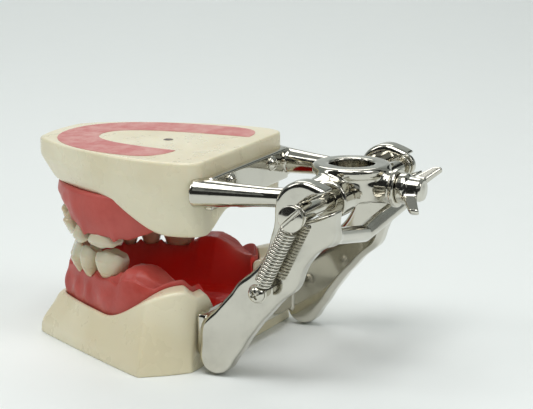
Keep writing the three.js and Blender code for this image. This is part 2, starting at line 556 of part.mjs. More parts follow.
const hookCentre = pinAt.clone().addScaledVector(down, 0.2);
const postCentre = postAt.clone().addScaledVector(down, -0.1);
const spring = fromSolid(union([
  turnedAlong(ribs, pinAt.clone().addScaledVector(down, coilStart), down, 10),
  ring(HOOK_R, hookCentre),
  ring(POST_HOOK_R, postCentre),
  wireTo(coilStart, HOOK_R),
  wireTo(coilStart + coilLength, pinAt.distanceTo(postAt) - POST_HOOK_R),
]));
add('spring_left', spring, NICKEL);
add('spring_right', mirrored(spring), NICKEL);

// ---- clamp washer and wing screw ----------------------------------------------------------------
const WASHER_T = 1.8;
const WASHER_Y = BARREL_END + 0.1;
const WASHER_R = 6.2;
const washerProfile = [[SCREW_R + 0.1, 0], [WASHER_R, 0], [WASHER_R, WASHER_T], [SCREW_R + 0.1, WASHER_T],
  [SCREW_R + 0.1, 0]];
add('clamp_washer', turnedAlong(washerProfile, V(0, WASHER_Y, BARREL_Z), AXIS.y, 28), NICKEL);
const HUB_Y = WASHER_Y + WASHER_T + 0.1;
const HUB_L = 8;
const SCREW_TIP = BOSS_Y + BOSS_BORE_R + 0.3;
const SHANK_INTO = 2;            // the shank is fixed this deep in the hub
const hub = turnedAlong([[0, SHANK_INTO], [SCREW_R + 0.02, SHANK_INTO], [SCREW_R + 0.02, 0], [4.9, 0],
  [4.9, 2.6], [3.9, HUB_L - 1], [3.2, HUB_L], [0, HUB_L]], V(0, HUB_Y, BARREL_Z), AXIS.y, 24);
const shankEnd = V(0, HUB_Y + SHANK_INTO - 0.02, BARREL_Z);
add('wing_screw_shank', rod(SCREW_R, V(0, SCREW_TIP, BARREL_Z), shankEnd, 24), NICKEL);
const WING_REACH = 11;
const WING_SWEEP = 7.5;
const WING_T = 2.6;
function wing(sign) {
  const s = new THREE.Shape();
  s.moveTo(sign * 3, 0.8);
  s.lineTo(sign * 5, 1.4);
  s.lineTo(sign * WING_REACH, WING_SWEEP);
  s.quadraticCurveTo(sign * (WING_REACH + 1), WING_SWEEP + 3.4, sign * (WING_REACH - 2), WING_SWEEP + 3.6);
  s.lineTo(sign * 3, 7.4);
  s.closePath();
  return new THREE.ExtrudeGeometry(s, { depth: WING_T, bevelEnabled: false, curveSegments: 6 })
    .translate(0, 0, -WING_T / 2);
}
const WING_TURN = 0.47;
const wings = [wing(1), wing(-1)].map((g) => g.rotateY(WING_TURN).translate(0, HUB_Y, BARREL_Z));
add('wing_screw', fromSolid(union([hub, ...wings])), NICKEL);

// The origin is the middle of the footprint, on the ground.
const bounds = new THREE.Box3().setFromObject(object);
for (const mesh of object.children) {
  mesh.geometry.translate(0, -(bounds.min.y + bounds.max.y) / 2, -bounds.min.z);
}

export default object;
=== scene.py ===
import math
import bpy
import numpy as np
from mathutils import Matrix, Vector


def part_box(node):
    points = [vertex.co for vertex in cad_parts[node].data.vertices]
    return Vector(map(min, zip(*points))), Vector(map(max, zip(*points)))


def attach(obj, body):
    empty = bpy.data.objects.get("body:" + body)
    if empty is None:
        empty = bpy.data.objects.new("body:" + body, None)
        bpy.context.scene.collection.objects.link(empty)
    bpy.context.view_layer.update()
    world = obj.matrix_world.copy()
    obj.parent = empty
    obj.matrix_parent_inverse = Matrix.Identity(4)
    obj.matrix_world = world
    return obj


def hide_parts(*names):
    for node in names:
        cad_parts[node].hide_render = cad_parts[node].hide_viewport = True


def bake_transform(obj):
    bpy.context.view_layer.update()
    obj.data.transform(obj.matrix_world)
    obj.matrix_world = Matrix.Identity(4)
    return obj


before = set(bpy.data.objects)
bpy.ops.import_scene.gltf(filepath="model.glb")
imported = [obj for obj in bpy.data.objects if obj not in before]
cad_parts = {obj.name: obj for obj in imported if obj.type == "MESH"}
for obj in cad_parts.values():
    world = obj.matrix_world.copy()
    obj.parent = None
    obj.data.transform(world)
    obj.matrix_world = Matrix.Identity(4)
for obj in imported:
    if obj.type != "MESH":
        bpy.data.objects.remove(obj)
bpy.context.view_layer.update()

bl_info = {
    "name": "Dental articulator",
    "version": (1, 0, 0),
    "blender": (4, 5, 0),
    "location": "View3D > Sidebar > Articulator",
    "description": "Jaw models on a sprung, hinged nickel-plated articulator",
    "category": "Add Mesh",
}

# ---- where things are, in millimetres ------------------------------------------------------------
# Shapes are worked out in the maker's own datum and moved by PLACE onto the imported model.
PIN = np.array([0.0, 34.9, 54.0])


def box_mm(node):
    """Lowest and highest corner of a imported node, in millimetres."""
    low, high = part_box(node)
    return np.array(low) * 1000, np.array(high) * 1000


PLACE = sum(box_mm("hinge_shaft_left")) / 2 - PIN
PLACE[0] = 0.0
GROUND = -PLACE[2]
UPPER_TOP = box_mm("upper_base")[1][2] - PLACE[2]


def datum_box(node):
    """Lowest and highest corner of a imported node, in the maker's datum."""
    low, high = box_mm(node)
    return low - PLACE, high - PLACE


# ---- numbers and curves --------------------------------------------------------------------------
def smooth(x, a, b):
    """Smoothstep: nought at a, one at b, level at both ends."""
    t = np.clip((x - a) / (b - a), 0, 1)
    return t * t * (3 - 2 * t)


def blob(x, middle_at, width):
    """A bell that is one at middle_at and falls away over width."""
    return np.exp(-((x - middle_at) / width) ** 2)


def wave(*parts):
    """A quiet, repeatable unevenness: the mean of sines of the given angles."""
    return sum(np.sin(p) for p in parts) / len(parts)


def bezier(points, t):
    """Points of a Bezier curve of any degree at the parameters t, by repeated halving."""
    layer = [np.array(p, float)[None] for p in points]
    t = t[:, None]
    while len(layer) > 1:
        layer = [a * (1 - t) + b * t for a, b in zip(layer, layer[1:])]
    return layer[0]


def even(points, count, closed=False):
    """The polyline resampled at count points, an equal distance apart."""
    if closed:
        points = np.vstack([points, points[:1]])
    steps = np.linalg.norm(np.diff(points, axis=0), axis=1)
    run = np.concatenate([[0], np.cumsum(steps)])
    at = np.linspace(0, run[-1], count, endpoint=not closed)
    return np.stack([np.interp(at, run, points[:, k]) for k in range(points.shape[1])], axis=1)


def outline(front, front_half, side, side_y, rear_half, rear, belly=1.0, count=384):
    """Plan of a jaw base, anticlockwise from the middle of its rear edge: Bezier sides, a bowed front.

    belly 0 gives straight sides that meet the heels in a corner, belly 1 full round sides.
    """
    bow = 1.5
    fx, fy = front_half + 9 * belly + 1, front + bow + 5.5 * belly + 1.5
    sx, sy = side - 1 + belly, side_y - 2 - 18 * belly
    hx = rear_half + (side - rear_half) * (0.45 + 0.55 * belly)
    hy = rear + (side_y - rear) * 0.4 * (1 - belly)
    half = [
        [(0, rear), (-rear_half, rear)],
        [(-rear_half, rear), (-hx, hy), (-side, side_y)],
        [(-side, side_y), (-sx, sy), (-fx, fy), (-front_half, front + bow)],
        [(-front_half, front + bow), (-front_half * 0.5, front), (0, front)],
    ]
    t = np.linspace(0, 1, 160)
    left = np.vstack([bezier(p, t) for p in half])
    right = left[::-1] * (-1, 1)
    return even(np.vstack([left, right]), count, closed=True)


CENTRE_Y = -28.0


def scaled(points, share):
    """The outline drawn in or out about the jaw's centre."""
    return np.stack([points[:, 0] * share, CENTRE_Y + (points[:, 1] - CENTRE_Y) * share], axis=1)


def level(points, z):
    """The outline lifted to a height, which may vary round it."""
    return np.column_stack([points, np.broadcast_to(z, len(points))])


# ---- surfaces ------------------------------------------------------------------------------------
def put_mesh(name, points, faces):
    """A mesh object in metres at the origin, from points in the maker's datum."""
    mesh = bpy.data.meshes.new(name)
    mesh.from_pydata(((points + PLACE) / 1000).tolist(), [], faces)
    mesh.validate()
    mesh.update()
    mesh.polygons.foreach_set("use_smooth", np.ones(len(mesh.polygons), bool))
    piece = bpy.data.objects.new(name, mesh)
    bpy.context.scene.collection.objects.link(piece)
    return piece


def grid_faces(rows, columns, wrap=True):
    """Quads of a grid of rows by columns, the columns closed into a ring when wrap is set."""
    r = np.arange(rows - 1)[:, None] * columns
    c = np.arange(columns if wrap else columns - 1)[None, :]
    n = (c + 1) % columns
    return np.stack([r + c, r + n, r + columns + n, r + columns + c], axis=-1).reshape(-1, 4)


def lofted(loops):
    """Points and faces of a closed body through equal loops, each end closed on its middle."""
    loops = np.asarray(loops)
    rows, columns = loops.shape[:2]
    points = np.vstack([loops.reshape(-1, 3), loops[0].mean(axis=0), loops[-1].mean(axis=0)])
    quads = grid_faces(rows, columns)
    c = np.arange(columns)
    n = (c + 1) % columns
    first = np.full(columns, rows * columns)
    caps = np.vstack([np.stack([first, n, c], 1),
                      np.stack([first + 1, (rows - 1) * columns + c, (rows - 1) * columns + n], 1)])
    return points, quads.tolist() + caps.tolist()


def filleted(loops, radius, steps=6):
    """The loops with every inner corner of the profile rounded by a quadratic curve.

    Each corner loop gives way to steps loops on the curve from a point radius before it to one after.
    """
    loops = [np.asarray(p, float) for p in loops]
    radii = np.broadcast_to(radius, len(loops))
    out = [loops[0]]
    t = np.linspace(0, 1, steps)[:, None, None]
    for before, corner, after, r in zip(loops, loops[1:], loops[2:], radii[1:]):
        sides = []
        for other in (before, after):
            gap = np.linalg.norm(other - corner, axis=1, keepdims=True)
            sides.append(corner + (other - corner) * np.minimum(r / np.maximum(gap, 1e-6), 0.45))
        out.extend(sides[0] * (1 - t) ** 2 + corner * 2 * t * (1 - t) + sides[1] * t ** 2)
    return np.array(out + [loops[-1]])


def refined(loops, longest):
    """The loops with more put in between, so that no step up the profile is over longest."""
    out = [loops[0]]
    for a, b in zip(loops, loops[1:]):
        pieces = max(1, int(np.ceil(np.linalg.norm(b - a, axis=1).max() / longest)))
        out.extend(a + (b - a) * k / pieces for k in range(1, pieces + 1))
    return np.array(out)


def skin(field, low, high, step, settle=6):
    """Points and quads of the surface where a distance field is nought, negative inside.

    The field is sampled on a grid of the given step. Every cell that the surface crosses gets one point,
    the mean of the crossings on its edges, and every grid edge that it crosses gets one quad. The points
    then slide down the field's own slope until they lie on the surface.
    """
    low = np.asarray(low, float) - 2 * step
    spans = np.ceil((np.asarray(high, float) + 2 * step - low) / step).astype(int) + 1
    axes = [low[k] + step * np.arange(spans[k]) for k in range(3)]
    grid = np.stack(np.meshgrid(*axes, indexing="ij"), axis=-1)
    value = np.concatenate([field(slab.reshape(-1, 3)).reshape(slab.shape[:-1])
                            for slab in np.array_split(grid, max(1, len(grid) // 24))])
    cells = tuple(n - 1 for n in value.shape)
    total = np.zeros(cells + (3,))
    count = np.zeros(cells)
    crossings = []
    for axis in range(3):
        ahead = [slice(None)] * 3
        behind = [slice(None)] * 3
        ahead[axis], behind[axis] = slice(1, None), slice(None, -1)
        a, b = value[tuple(behind)], value[tuple(ahead)]
        hit = (a < 0) != (b < 0)
        i = np.argwhere(hit)
        va, vb = a[hit], b[hit]
        at = grid[tuple(i.T)].copy()
        at[:, axis] += step * va / (va - vb)
        others = [k for k in range(3) if k != axis]
        ring = []
        for d0, d1 in ((0, 0), (-1, 0), (-1, -1), (0, -1)):
            cell = i.copy()
            cell[:, others[0]] += d0
            cell[:, others[1]] += d1
            ring.append(cell)
            np.add.at(total, tuple(cell.T), at)
            np.add.at(count, tuple(cell.T), 1)
        flip = (va < 0) == (axis != 1)
        crossings.append((ring, flip))
    used = count > 0
    number = np.full(cells, -1)
    number[used] = np.arange(used.sum())
    points = total[used] / count[used][:, None]
    quads = []
    for ring, flip in crossings:
        q = np.stack([number[tuple(cell.T)] for cell in ring], axis=1)
        quads.append(np.where(flip[:, None], q, q[:, ::-1]))
    for _ in range(settle):
        here = field(points)
        small = step * 0.05
        rise = [field(points + small * e) - field(points - small * e) for e in np.eye(3)]
        slope = np.stack(rise, 1) / (2 * small)
        size = np.maximum((slope ** 2).sum(axis=1), 0.05)
        move = -slope * (here / size)[:, None]
        far = np.maximum(np.linalg.norm(move, axis=1) / (0.5 * step), 1)
        points = points + move / far[:, None]
    return points, np.vstack(quads).tolist()


# Distances in millimetres to simple bodies, negative inside. Each takes points as rows of x, y, z.
def melt(a, b, k):
    """Union of two distances with a fillet of about k where they meet."""
    h = np.clip(0.5 + 0.5 * (b - a) / k, 0, 1)
    return b * (1 - h) + a * h - k * h * (1 - h)


def carve(a, b, k=0.3):
    """The first body less the second, with the new edge rounded by about k."""
    return -melt(-a, b, k)


def rounded(across, along, half, edge):
    """A flat shape's distance across, thickened to half each way along, with rounded edges."""
    w = np.stack([across + edge, np.abs(along) - half + edge], axis=1)
    return np.minimum(w.max(axis=1), 0) + np.linalg.norm(np.maximum(w, 0), axis=1) - edge


def brick(p, centre, half, edge):
    """A box with rounded edges."""
    q = np.abs(p - np.array(centre)) - np.array(half) + edge
    return np.linalg.norm(np.maximum(q, 0), axis=1) + np.minimum(q.max(axis=1), 0) - edge


def taper(p, a, b, ra, rb):
    """A round bar between two points whose radius runs from ra to rb, with round ends."""
    a, b = np.array(a, float), np.array(b, float)
    t = np.clip((p - a) @ (b - a) / ((b - a) @ (b - a)), 0, 1)
    return np.linalg.norm(p - a - t[:, None] * (b - a), axis=1) - (ra + (rb - ra) * t)


def drum(p, axis, centre, radius, start, stop, edge):
    """A round bar along one axis between two places, with rounded ends."""
    others = [k for k in range(3) if k != axis]
    across = np.linalg.norm(p[:, others] - np.array(centre), axis=1) - radius
    return rounded(across, p[:, axis] - (start + stop) / 2, (stop - start) / 2, edge)


def strap(p, a, b):
    """Flat distance, in the plane of y and z, to the belt round two circles given as y, z, radius."""
    a, b = np.array(a, float), np.array(b, float)
    q = p[:, 1:] - a[:2]
    way = b[:2] - a[:2]
    length = np.hypot(*way)
    way = way / length
    lean = (a[2] - b[2]) / length
    x = np.abs(q @ np.array([-way[1], way[0]]))
    y = q @ way
    c = math.sqrt(max(1 - lean * lean, 1e-6))
    k = -lean * x + c * y
    side = x * c + y * lean - a[2]
    past_b = np.where(k > c * length, np.hypot(x, y - length) - b[2], side)
    return np.where(k < 0, np.hypot(x, y) - a[2], past_b)


def finished(name, data, body, node, finish_name):
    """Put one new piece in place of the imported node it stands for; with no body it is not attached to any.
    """
    piece = put_mesh(name, *data)
    piece.data.materials.append(finish_named(finish_name))
    if body:
        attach(piece, body)
    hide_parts(node)
    return piece


def refinish(node, finish_name):
    """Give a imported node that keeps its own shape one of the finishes."""
    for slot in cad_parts[node].material_slots:
        slot.material = finish_named(finish_name)


# ---- shader writing ------------------------------------------------------------------------------
class Shade:
    """One socket of a material, on which ordinary arithmetic adds Math nodes."""

    def __init__(self, tree, socket):
        self.tree = tree
        self.socket = socket

    def node(self, kind, sockets=(), out=0, **settings):
        """Add a node: settings first, then values or links by socket name or number."""
        made = self.tree.nodes.new(kind)
        for key, value in settings.items():
            setattr(made, key, value)
        for key, value in dict(sockets).items():
            if isinstance(value, Shade):
                self.tree.links.new(value.socket, made.inputs[key])
            else:
                made.inputs[key].default_value = value
        return Shade(self.tree, made.outputs[out])

    def maths(self, operation, *values):
        return self.node("ShaderNodeMath", dict(enumerate(values)), operation=operation)

    def __add__(self, other):
        return self.maths("ADD", self, other)

    __radd__ = __add__

    def __sub__(self, other):
        return self.maths("SUBTRACT", self, other)

    def __rsub__(self, other):
        return self.maths("SUBTRACT", other, self)

    def __mul__(self, other):
        return self.maths("MULTIPLY", self, other)

    __rmul__ = __mul__

    def __truediv__(self, other):
        return self.maths("DIVIDE", self, other)

    def __pow__(self, other):
        return self.maths("POWER", self, other)

    def between(self, low, high, to_low=0.0, to_high=1.0):
        """This value carried smoothly from the range low-high to another range, held at its ends."""
        return self.node("ShaderNodeMapRange", {0: self, 1: low, 2: high, 3: to_low, 4: to_high},
                         interpolation_type="SMOOTHSTEP", clamp=True)

    def noise(self, scale, detail=2.0, rough=0.5, stretch=None):
        """Noise over the piece, from 0 to 1; stretch scales the pattern along each axis."""
        where = self
        if stretch:
            where = self.node("ShaderNodeMapping", {0: self, 3: stretch})
        return self.node("ShaderNodeTexNoise", {"Vector": where, "Scale": scale, "Detail": detail,
                                                "Roughness": rough})

    def mixed(self, first, second):
        """The first colour where this value is 0, the second where it is 1."""
        return self.node("ShaderNodeMix", {0: self, 6: first, 7: second}, out=2, data_type="RGBA")


def finish(name, base, write, **constant):
    """A material: constant sockets are set on the shader, and write(place) gives what varies.

    write returns a dictionary of shader socket names and Shade values; Bump is a height in millimetres
    with its strength.
    """
    material = bpy.data.materials.new(name)
    material.use_nodes = True
    material.diffuse_color = (*base[:3], 1)
    tree = material.node_tree
    shader = tree.nodes["Principled BSDF"]
    shader.inputs["Base Color"].default_value = (*base[:3], 1)
    for key, value in constant.items():
        shader.inputs[key.replace("_", " ")].default_value = value
    place = Shade(tree, None).node("ShaderNodeTexCoord", out=3)
    made = write(place)
    if "Bump" in made:
        height, strength = made.pop("Bump")
        bump = place.node("ShaderNodeBump", {"Height": height, "Strength": strength, "Distance": 0.001})
        made["Normal"] = bump
    for key, value in made.items():
        tree.links.new(value.socket, shader.inputs[key])
    return material


def height_of(place):
    """Height above the table, in metres."""
    return place.node("ShaderNodeSeparateXYZ", {0: place}, out=2)


def shade_of(colour, factor, towards=(0, 0, 0)):
    """A colour drawn by a factor towards another, as four numbers."""
    return tuple(c * (1 - factor) + t * factor for c, t in zip(colour[:3], towards)) + (1.0,)


def colour_input(name, description, default):
    return bpy.props.FloatVectorProperty(name=name, description=description, default=default, size=3,
                                         min=0.0, max=1.0, subtype="COLOR")


class ArticulatorColours(bpy.types.PropertyGroup):
    """Colours of the finishes"""
    ivory: colour_input("Ivory acrylic", "Colour of both jaw bases", (0.86, 0.80, 0.60))
    gum: colour_input("Gum", "Colour of the gums", (0.50, 0.065, 0.05))
    inlay: colour_input("Inlay", "Colour of the horseshoe inlay in the top face", (0.56, 0.17, 0.16))
    tooth: colour_input("Tooth", "Colour of the tooth crowns", (0.68, 0.62, 0.44))
    nickel: colour_input("Nickel", "Colour of the plated metal", (0.63, 0.61, 0.54))


class ArticulatorSizes(bpy.types.PropertyGroup):
    """Sizes of the details, in millimetres"""
    edge: bpy.props.FloatProperty(name="Casting edge", description="Radius of the bracket's polished edges",
                                  default=1.7, min=0.5, max=3.0)
    fillet: bpy.props.FloatProperty(name="Casting fillet", description="Blend between parts of a casting",
                                    default=2.2, min=0.3, max=5.0)
    wire: bpy.props.FloatProperty(name="Spring wire", description="Diameter of the spring wire",
                                  default=0.9, min=0.5, max=1.1)
    turns: bpy.props.IntProperty(name="Spring turns", description="Turns in each tension spring",
                                 default=18, min=8, max=22)
    grain: bpy.props.FloatProperty(name="Detail step", description="Spacing of the points on the castings",
                                   default=0.5, min=0.3, max=1.0)
    bevel: bpy.props.FloatProperty(name="Base edge", description="Radius of the jaw bases' moulded edges",
                                   default=1.4, min=0.3, max=2.5)


def sizes():
    return bpy.context.scene.articulator_sizes


def colours():
    return bpy.context.scene.articulator_colours


FINISHES = {}


def finish_named(name):
    """The finish of that name, written the first time that it is asked for."""
    if name not in FINISHES:
        FINISHES[name] = WRITERS[name]()
    return FINISHES[name]


def ivory_acrylic():
    """Moulded acrylic: warm cloudy tone, yellower in patches, painted shade darkening it towards the table,
    faint sanding marks and pits.
    """
    base = tuple(colours().ivory)

    def write(place):
        cloud = place.noise(34, 3).between(0.36, 0.66)
        # painted shade: the base made darker and yellower towards the table, by height alone
        low = height_of(place).between(0.0, 0.030, 0.35, 0.0)
        tone = (cloud * 0.75 + low).mixed(shade_of(base, 0.0), shade_of(base, 0.36, (0.62, 0.50, 0.26)))
        speck = place.noise(900, 2).between(0.66, 0.74, 0.0, 0.5)
        tone = speck.mixed(tone, shade_of(base, 0.35, (0.5, 0.38, 0.2)))
        rough = place.noise(120, 3).between(0.3, 0.7, 0.24, 0.40)
        fine = place.noise(1500, 2, stretch=(1, 1, 5)) * 0.05 + place.noise(160, 3) * 0.22
        return {"Base Color": tone, "Roughness": rough, "Bump": (fine, 0.35)}

    return finish("ivory_acrylic", base, write, Subsurface_Weight=0.12, Subsurface_Scale=0.004,
                  Subsurface_Radius=(1.0, 0.7, 0.4), Coat_Weight=0.18, Coat_Roughness=0.25)


MOUTH_SHADE_HALF, MOUTH_SHADE_DEPTH, MOUTH_SHADE_BACK = 0.021, 0.040, 0.012  # painted shade: the deep red inside of the arches, metres


def gum_silicone():
    """Soft gum: mottled pink outside, painted shade as a deep red inside the arch, stippled with a damp
    sheen.
    """
    base = tuple(colours().gum)

    def write(place):
        mottle = place.noise(75, 4, 0.6).between(0.3, 0.7)
        tone = mottle.mixed(shade_of(base, 0.10), shade_of(base, 0.40, (0.66, 0.16, 0.14)))
        pale = height_of(place).between(0.022, 0.034) * 0.25
        tone = pale.mixed(tone, shade_of(base, 0.6, (0.68, 0.2, 0.17)))
        x, y = (place.node("ShaderNodeSeparateXYZ", {0: place}, out=k) for k in (0, 1))
        # painted shade: the inside of the arch, which lies in shade, painted a deep red by place
        forward = y.maths("MINIMUM", y + MOUTH_SHADE_BACK, 0) / MOUTH_SHADE_DEPTH
        inside = ((x / MOUTH_SHADE_HALF) ** 2 + forward ** 2).between(0.85, 1.2, 0.92, 0.0)
        tone = inside.mixed(tone, (0.80, 0.020, 0.012, 1))
        rough = place.noise(300, 2).between(0.3, 0.7, 0.30, 0.48)
        stipple = place.noise(1300, 2) * 0.10 + place.noise(260, 3) * 0.25
        return {"Base Color": tone, "Roughness": rough, "Bump": (stipple, 0.5)}

    return finish("gum_silicone", base, write, Specular_IOR_Level=0.35, Subsurface_Weight=0.2,
                  Subsurface_Scale=0.003, Subsurface_Radius=(1.0, 0.35, 0.25))


def inlay_red():
    """Dull pink-red compound rubbed flush, paler where the ivory dust stays in it."""
    base = tuple(colours().inlay)

    def write(place):
        dust = place.noise(160, 4, 0.65).between(0.35, 0.72)
        tone = dust.mixed(shade_of(base, 0.0), shade_of(base, 0.45, (0.78, 0.52, 0.46)))
        rough = place.noise(420, 3).between(0.3, 0.7, 0.42, 0.6)
        return {"Base Color": tone, "Roughness": rough, "Bump": (place.noise(700, 3) * 0.12, 0.5)}

    return finish("inlay_red", base, write)


BITE_HEIGHT = 0.0341  # where the rows meet, in metres above the table


def tooth_resin():
    """Glossy tooth resin: warmer and darker towards the neck, greyer at the biting edge."""
    base = tuple(colours().tooth)

    def write(place):
        z = height_of(place)
        away = z.maths("ABSOLUTE", z - BITE_HEIGHT)
        neck = away.between(0.002, 0.010)
        tone = neck.mixed(shade_of(base, 0.30, (0.72, 0.70, 0.62)), shade_of(base, 0.55, (0.60, 0.44, 0.22)))
        cloud = place.noise(260, 3).between(0.35, 0.7) * 0.35
        tone = cloud.mixed(tone, shade_of(base, 0.4, (0.5, 0.38, 0.2)))
        return {"Base Color": tone, "Roughness": place.noise(500, 2).between(0.3, 0.7, 0.12, 0.26),
                "Bump": (place.noise(900, 3) * 0.06, 0.35)}

    return finish("tooth_resin", base, write, Subsurface_Weight=0.25, Subsurface_Scale=0.0015,
                  Coat_Weight=0.4, Coat_Roughness=0.08)


def nickel(name, tint, rough_low, rough_high, scratch):
    """Polished nickel plate: a mirror with cloudy dulling, hairline scratches and a hand-polished swell."""
    base = tuple(c * tint for c in colours().nickel)

    def write(place):
        dull = place.noise(90, 4, 0.6).between(0.45, 0.75)
        warm = place.noise(40, 2).between(0.35, 0.7) * 0.5
        tone = warm.mixed(shade_of(base, 0.0), shade_of(base, 0.25, (0.62, 0.56, 0.46)))
        tone = (dull * 0.35).mixed(tone, shade_of(base, 0.35))
        rough = dull * (rough_high - rough_low) + rough_low
        lines = place.noise(260, 3, 0.6, stretch=(9, 1, 1)).between(0.74, 0.80, 0.0, 1.0)
        swell = place.noise(55, 1) * 0.35
        pits = place.noise(1100, 2).between(0.70, 0.78, 0.0, 1.0)
        height = swell - lines * scratch - pits * 0.03
        return {"Base Color": tone, "Roughness": rough, "Bump": (height, 0.25)}

    return finish(name, base, write, Metallic=1.0)


def nickel_casting():
    return nickel("nickel_casting", 1.0, 0.07, 0.20, 0.02)


def nickel_fastener():
    return nickel("nickel_fastener", 1.06, 0.10, 0.24, 0.01)


def dark_plug():
    """Dull dark stopper, dusty on top."""
    base = (0.10, 0.08, 0.07)

    def write(place):
        dust = place.noise(800, 3).between(0.4, 0.7) * 0.5
        return {"Base Color": dust.mixed((*base, 1), (0.30, 0.24, 0.20, 1)),
                "Roughness": place.noise(300, 2).between(0.3, 0.7, 0.5, 0.75)}

    return finish("dark_plug", base, write)


def studio_paper():
    """Seamless pale paper, a trace of tooth in it."""
    base = (0.87, 0.90, 0.885)

    def write(place):
        return {"Roughness": place.noise(60, 3).between(0.3, 0.7, 0.55, 0.7)}

    return finish("studio_paper", base, write)


def black_card():
    """Dull black card."""
    return finish("black_card", (0.01, 0.01, 0.01),
                  lambda place: {"Roughness": place.noise(20).between(0.3, 0.7, 0.7, 0.8)})


WRITERS = {f.__name__: f for f in (ivory_acrylic, gum_silicone, inlay_red, tooth_resin, nickel_casting,
                                   nickel_fastener, dark_plug, studio_paper, black_card)}


# ---- jaw shapes ----------------------------------------------------------------------------------
HEEL_BACK = -3.6
LOWER_FRONT = -73.6
UPPER_FRONT = -74.4
LOWER_FLOOR = 9.0
LOWER_CREST = 24.0
BITE = 32.1
UPPER_ARCH = (25.0, -64.6, -30.0)
LOWER_ARCH = (24.5, -62.0, -25.0)
TOOTH_GAP = 0.25
ROW = {                         # crown widths in the upper and lower row, and depth front to back
    "central": (8.2, 6.4, 6.4), "lateral": (6.6, 6.8, 6.2), "canine": (7.6, 7.6, 7.2),
    "premolar": (7.2, 7.6, 8.2), "molar": (12.0, 12.0, 9.6),
}


def heel(x, y):
    """One over the two rear corners of the lower base, nought in front and along the middle."""
    return smooth(y, -40, -7) * smooth(np.abs(x), 12, 26)


def rim_height(x, y):
    """Top of the lower ivory rim: low at the front, high at the heels, dropping again at the rear edge."""
    return 11.5 + 12.5 * heel(x, y) - 3 * smooth(y, -7, HEEL_BACK)


def lower_rim():
    """Plan of the lower base at the top of its wall."""
    return outline(LOWER_FRONT + 4.8, 11, 40.5, -17.5, 31, HEEL_BACK - 0.6, 0.45)


def lower_seat(rim):
    """Plan of the recess that the lower gum sits in: the rim drawn in, more so at the heels."""
    return scaled_by(rim, 0.95 - 0.17 * smooth(rim[:, 1], -34, -12) * smooth(np.abs(rim[:, 0]), 12, 26))


def scaled_by(points, shares):
    """The outline drawn in by a share that varies round it."""
    return np.stack([points[:, 0] * shares, CENTRE_Y + (points[:, 1] - CENTRE_Y) * shares], axis=1)


def arch_curve(half, front, back):
    """One side of a tooth row, from the midline back: a cubic curve that ends running straight back."""
    t = np.linspace(0, 1, 500)
    return bezier([(0, front), (half * 0.72, front), (half, front + 15), (half, back)], t)


def row_places(jaw):
    """Name, width, depth, place and heading of each tooth on the left side of a row."""
    index = 0 if jaw == "upper" else 1
    curve = arch_curve(*(UPPER_ARCH if jaw == "upper" else LOWER_ARCH))
    steps = np.linalg.norm(np.diff(curve, axis=0), axis=1)
    run = np.concatenate([[0], np.cumsum(steps)])
    at = TOOTH_GAP / 2
    out = []
    for kind, widths in ROW.items():
        s = at + widths[index] / 2
        here = np.array([np.interp(s, run, curve[:, k]) for k in (0, 1)])
        ahead = np.array([np.interp(s + 0.5, run, curve[:, k]) for k in (0, 1)]) - here
        out.append((kind, widths[index], widths[2], here, math.atan2(ahead[1], ahead[0]), s))
        at += widths[index] + TOOTH_GAP
    return out


def along_arch(x, y, jaw):
    """For plan points: how far out from the tooth line they lie, and how far along it, both in mm.

    The line runs on past the last tooth, backwards and a little outwards, to the heel.
    """
    half, front, back = UPPER_ARCH if jaw == "upper" else LOWER_ARCH
    curve = arch_curve(half, front, back)
    tail = np.array([[half + 1.5, back + 8], [half + 3.5, back + 18]])
    line = even(np.vstack([curve, tail]), 260)
    run = np.concatenate([[0], np.cumsum(np.linalg.norm(np.diff(line, axis=0), axis=1))])
    q = np.stack([np.abs(x).ravel(), y.ravel()], axis=1)
    gap = ((q[:, None, :] - line[None]) ** 2).sum(axis=2)
    near = gap.argmin(axis=1)
    way = np.gradient(line, axis=0)
    way /= np.linalg.norm(way, axis=1, keepdims=True)
    out = way[near][:, ::-1] * (1, -1)
    side = ((q - line[near]) * out).sum(axis=1)
    return side.reshape(np.shape(x)), run[near].reshape(np.shape(x))


def papillae(s, jaw):
    """One between neighbouring teeth and nought at the middle of each, along the row."""
    value = np.zeros_like(s)
    index = 0 if jaw == "upper" else 1
    edge = TOOTH_GAP / 2
    value += blob(s, 0, 1.1)
    for widths in ROW.values():
        edge += widths[index] + TOOTH_GAP
        value += blob(s, edge - TOOTH_GAP / 2, 1.2)
    return np.clip(value, 0, 1)


def roots(s, jaw):
    """One at the middle of each tooth and nought between, along the row."""
    value = np.zeros_like(s)
    for _, wide, _, _, _, at in row_places(jaw):
        value += blob(s, at, wide * 0.33)
    return value


def lower_base_shape():
    """Ivory foot and wall: the foot outline carried up to the rim, over it and down to the gum's seat."""
    foot = outline(LOWER_FRONT, 16, 48, -16.5, 36, HEEL_BACK, 0.12)
    rim = lower_rim()
    seat = lower_seat(rim)
    height = rim_height(rim[:, 0], rim[:, 1])
    r = sizes().bevel
    loops = [level(scaled(foot, 0.97), GROUND), level(foot, GROUND), level(scaled(foot, 0.99), GROUND + 5),
             level(rim, height), level(seat, height), level(scaled(seat, 0.995), LOWER_FLOOR),
             level(scaled(seat, 0.9), LOWER_FLOOR)]
    return lofted(refined(filleted(loops, [0, 0.7, 5, r, 0.7, 0.4, 0], 7), 1.6))


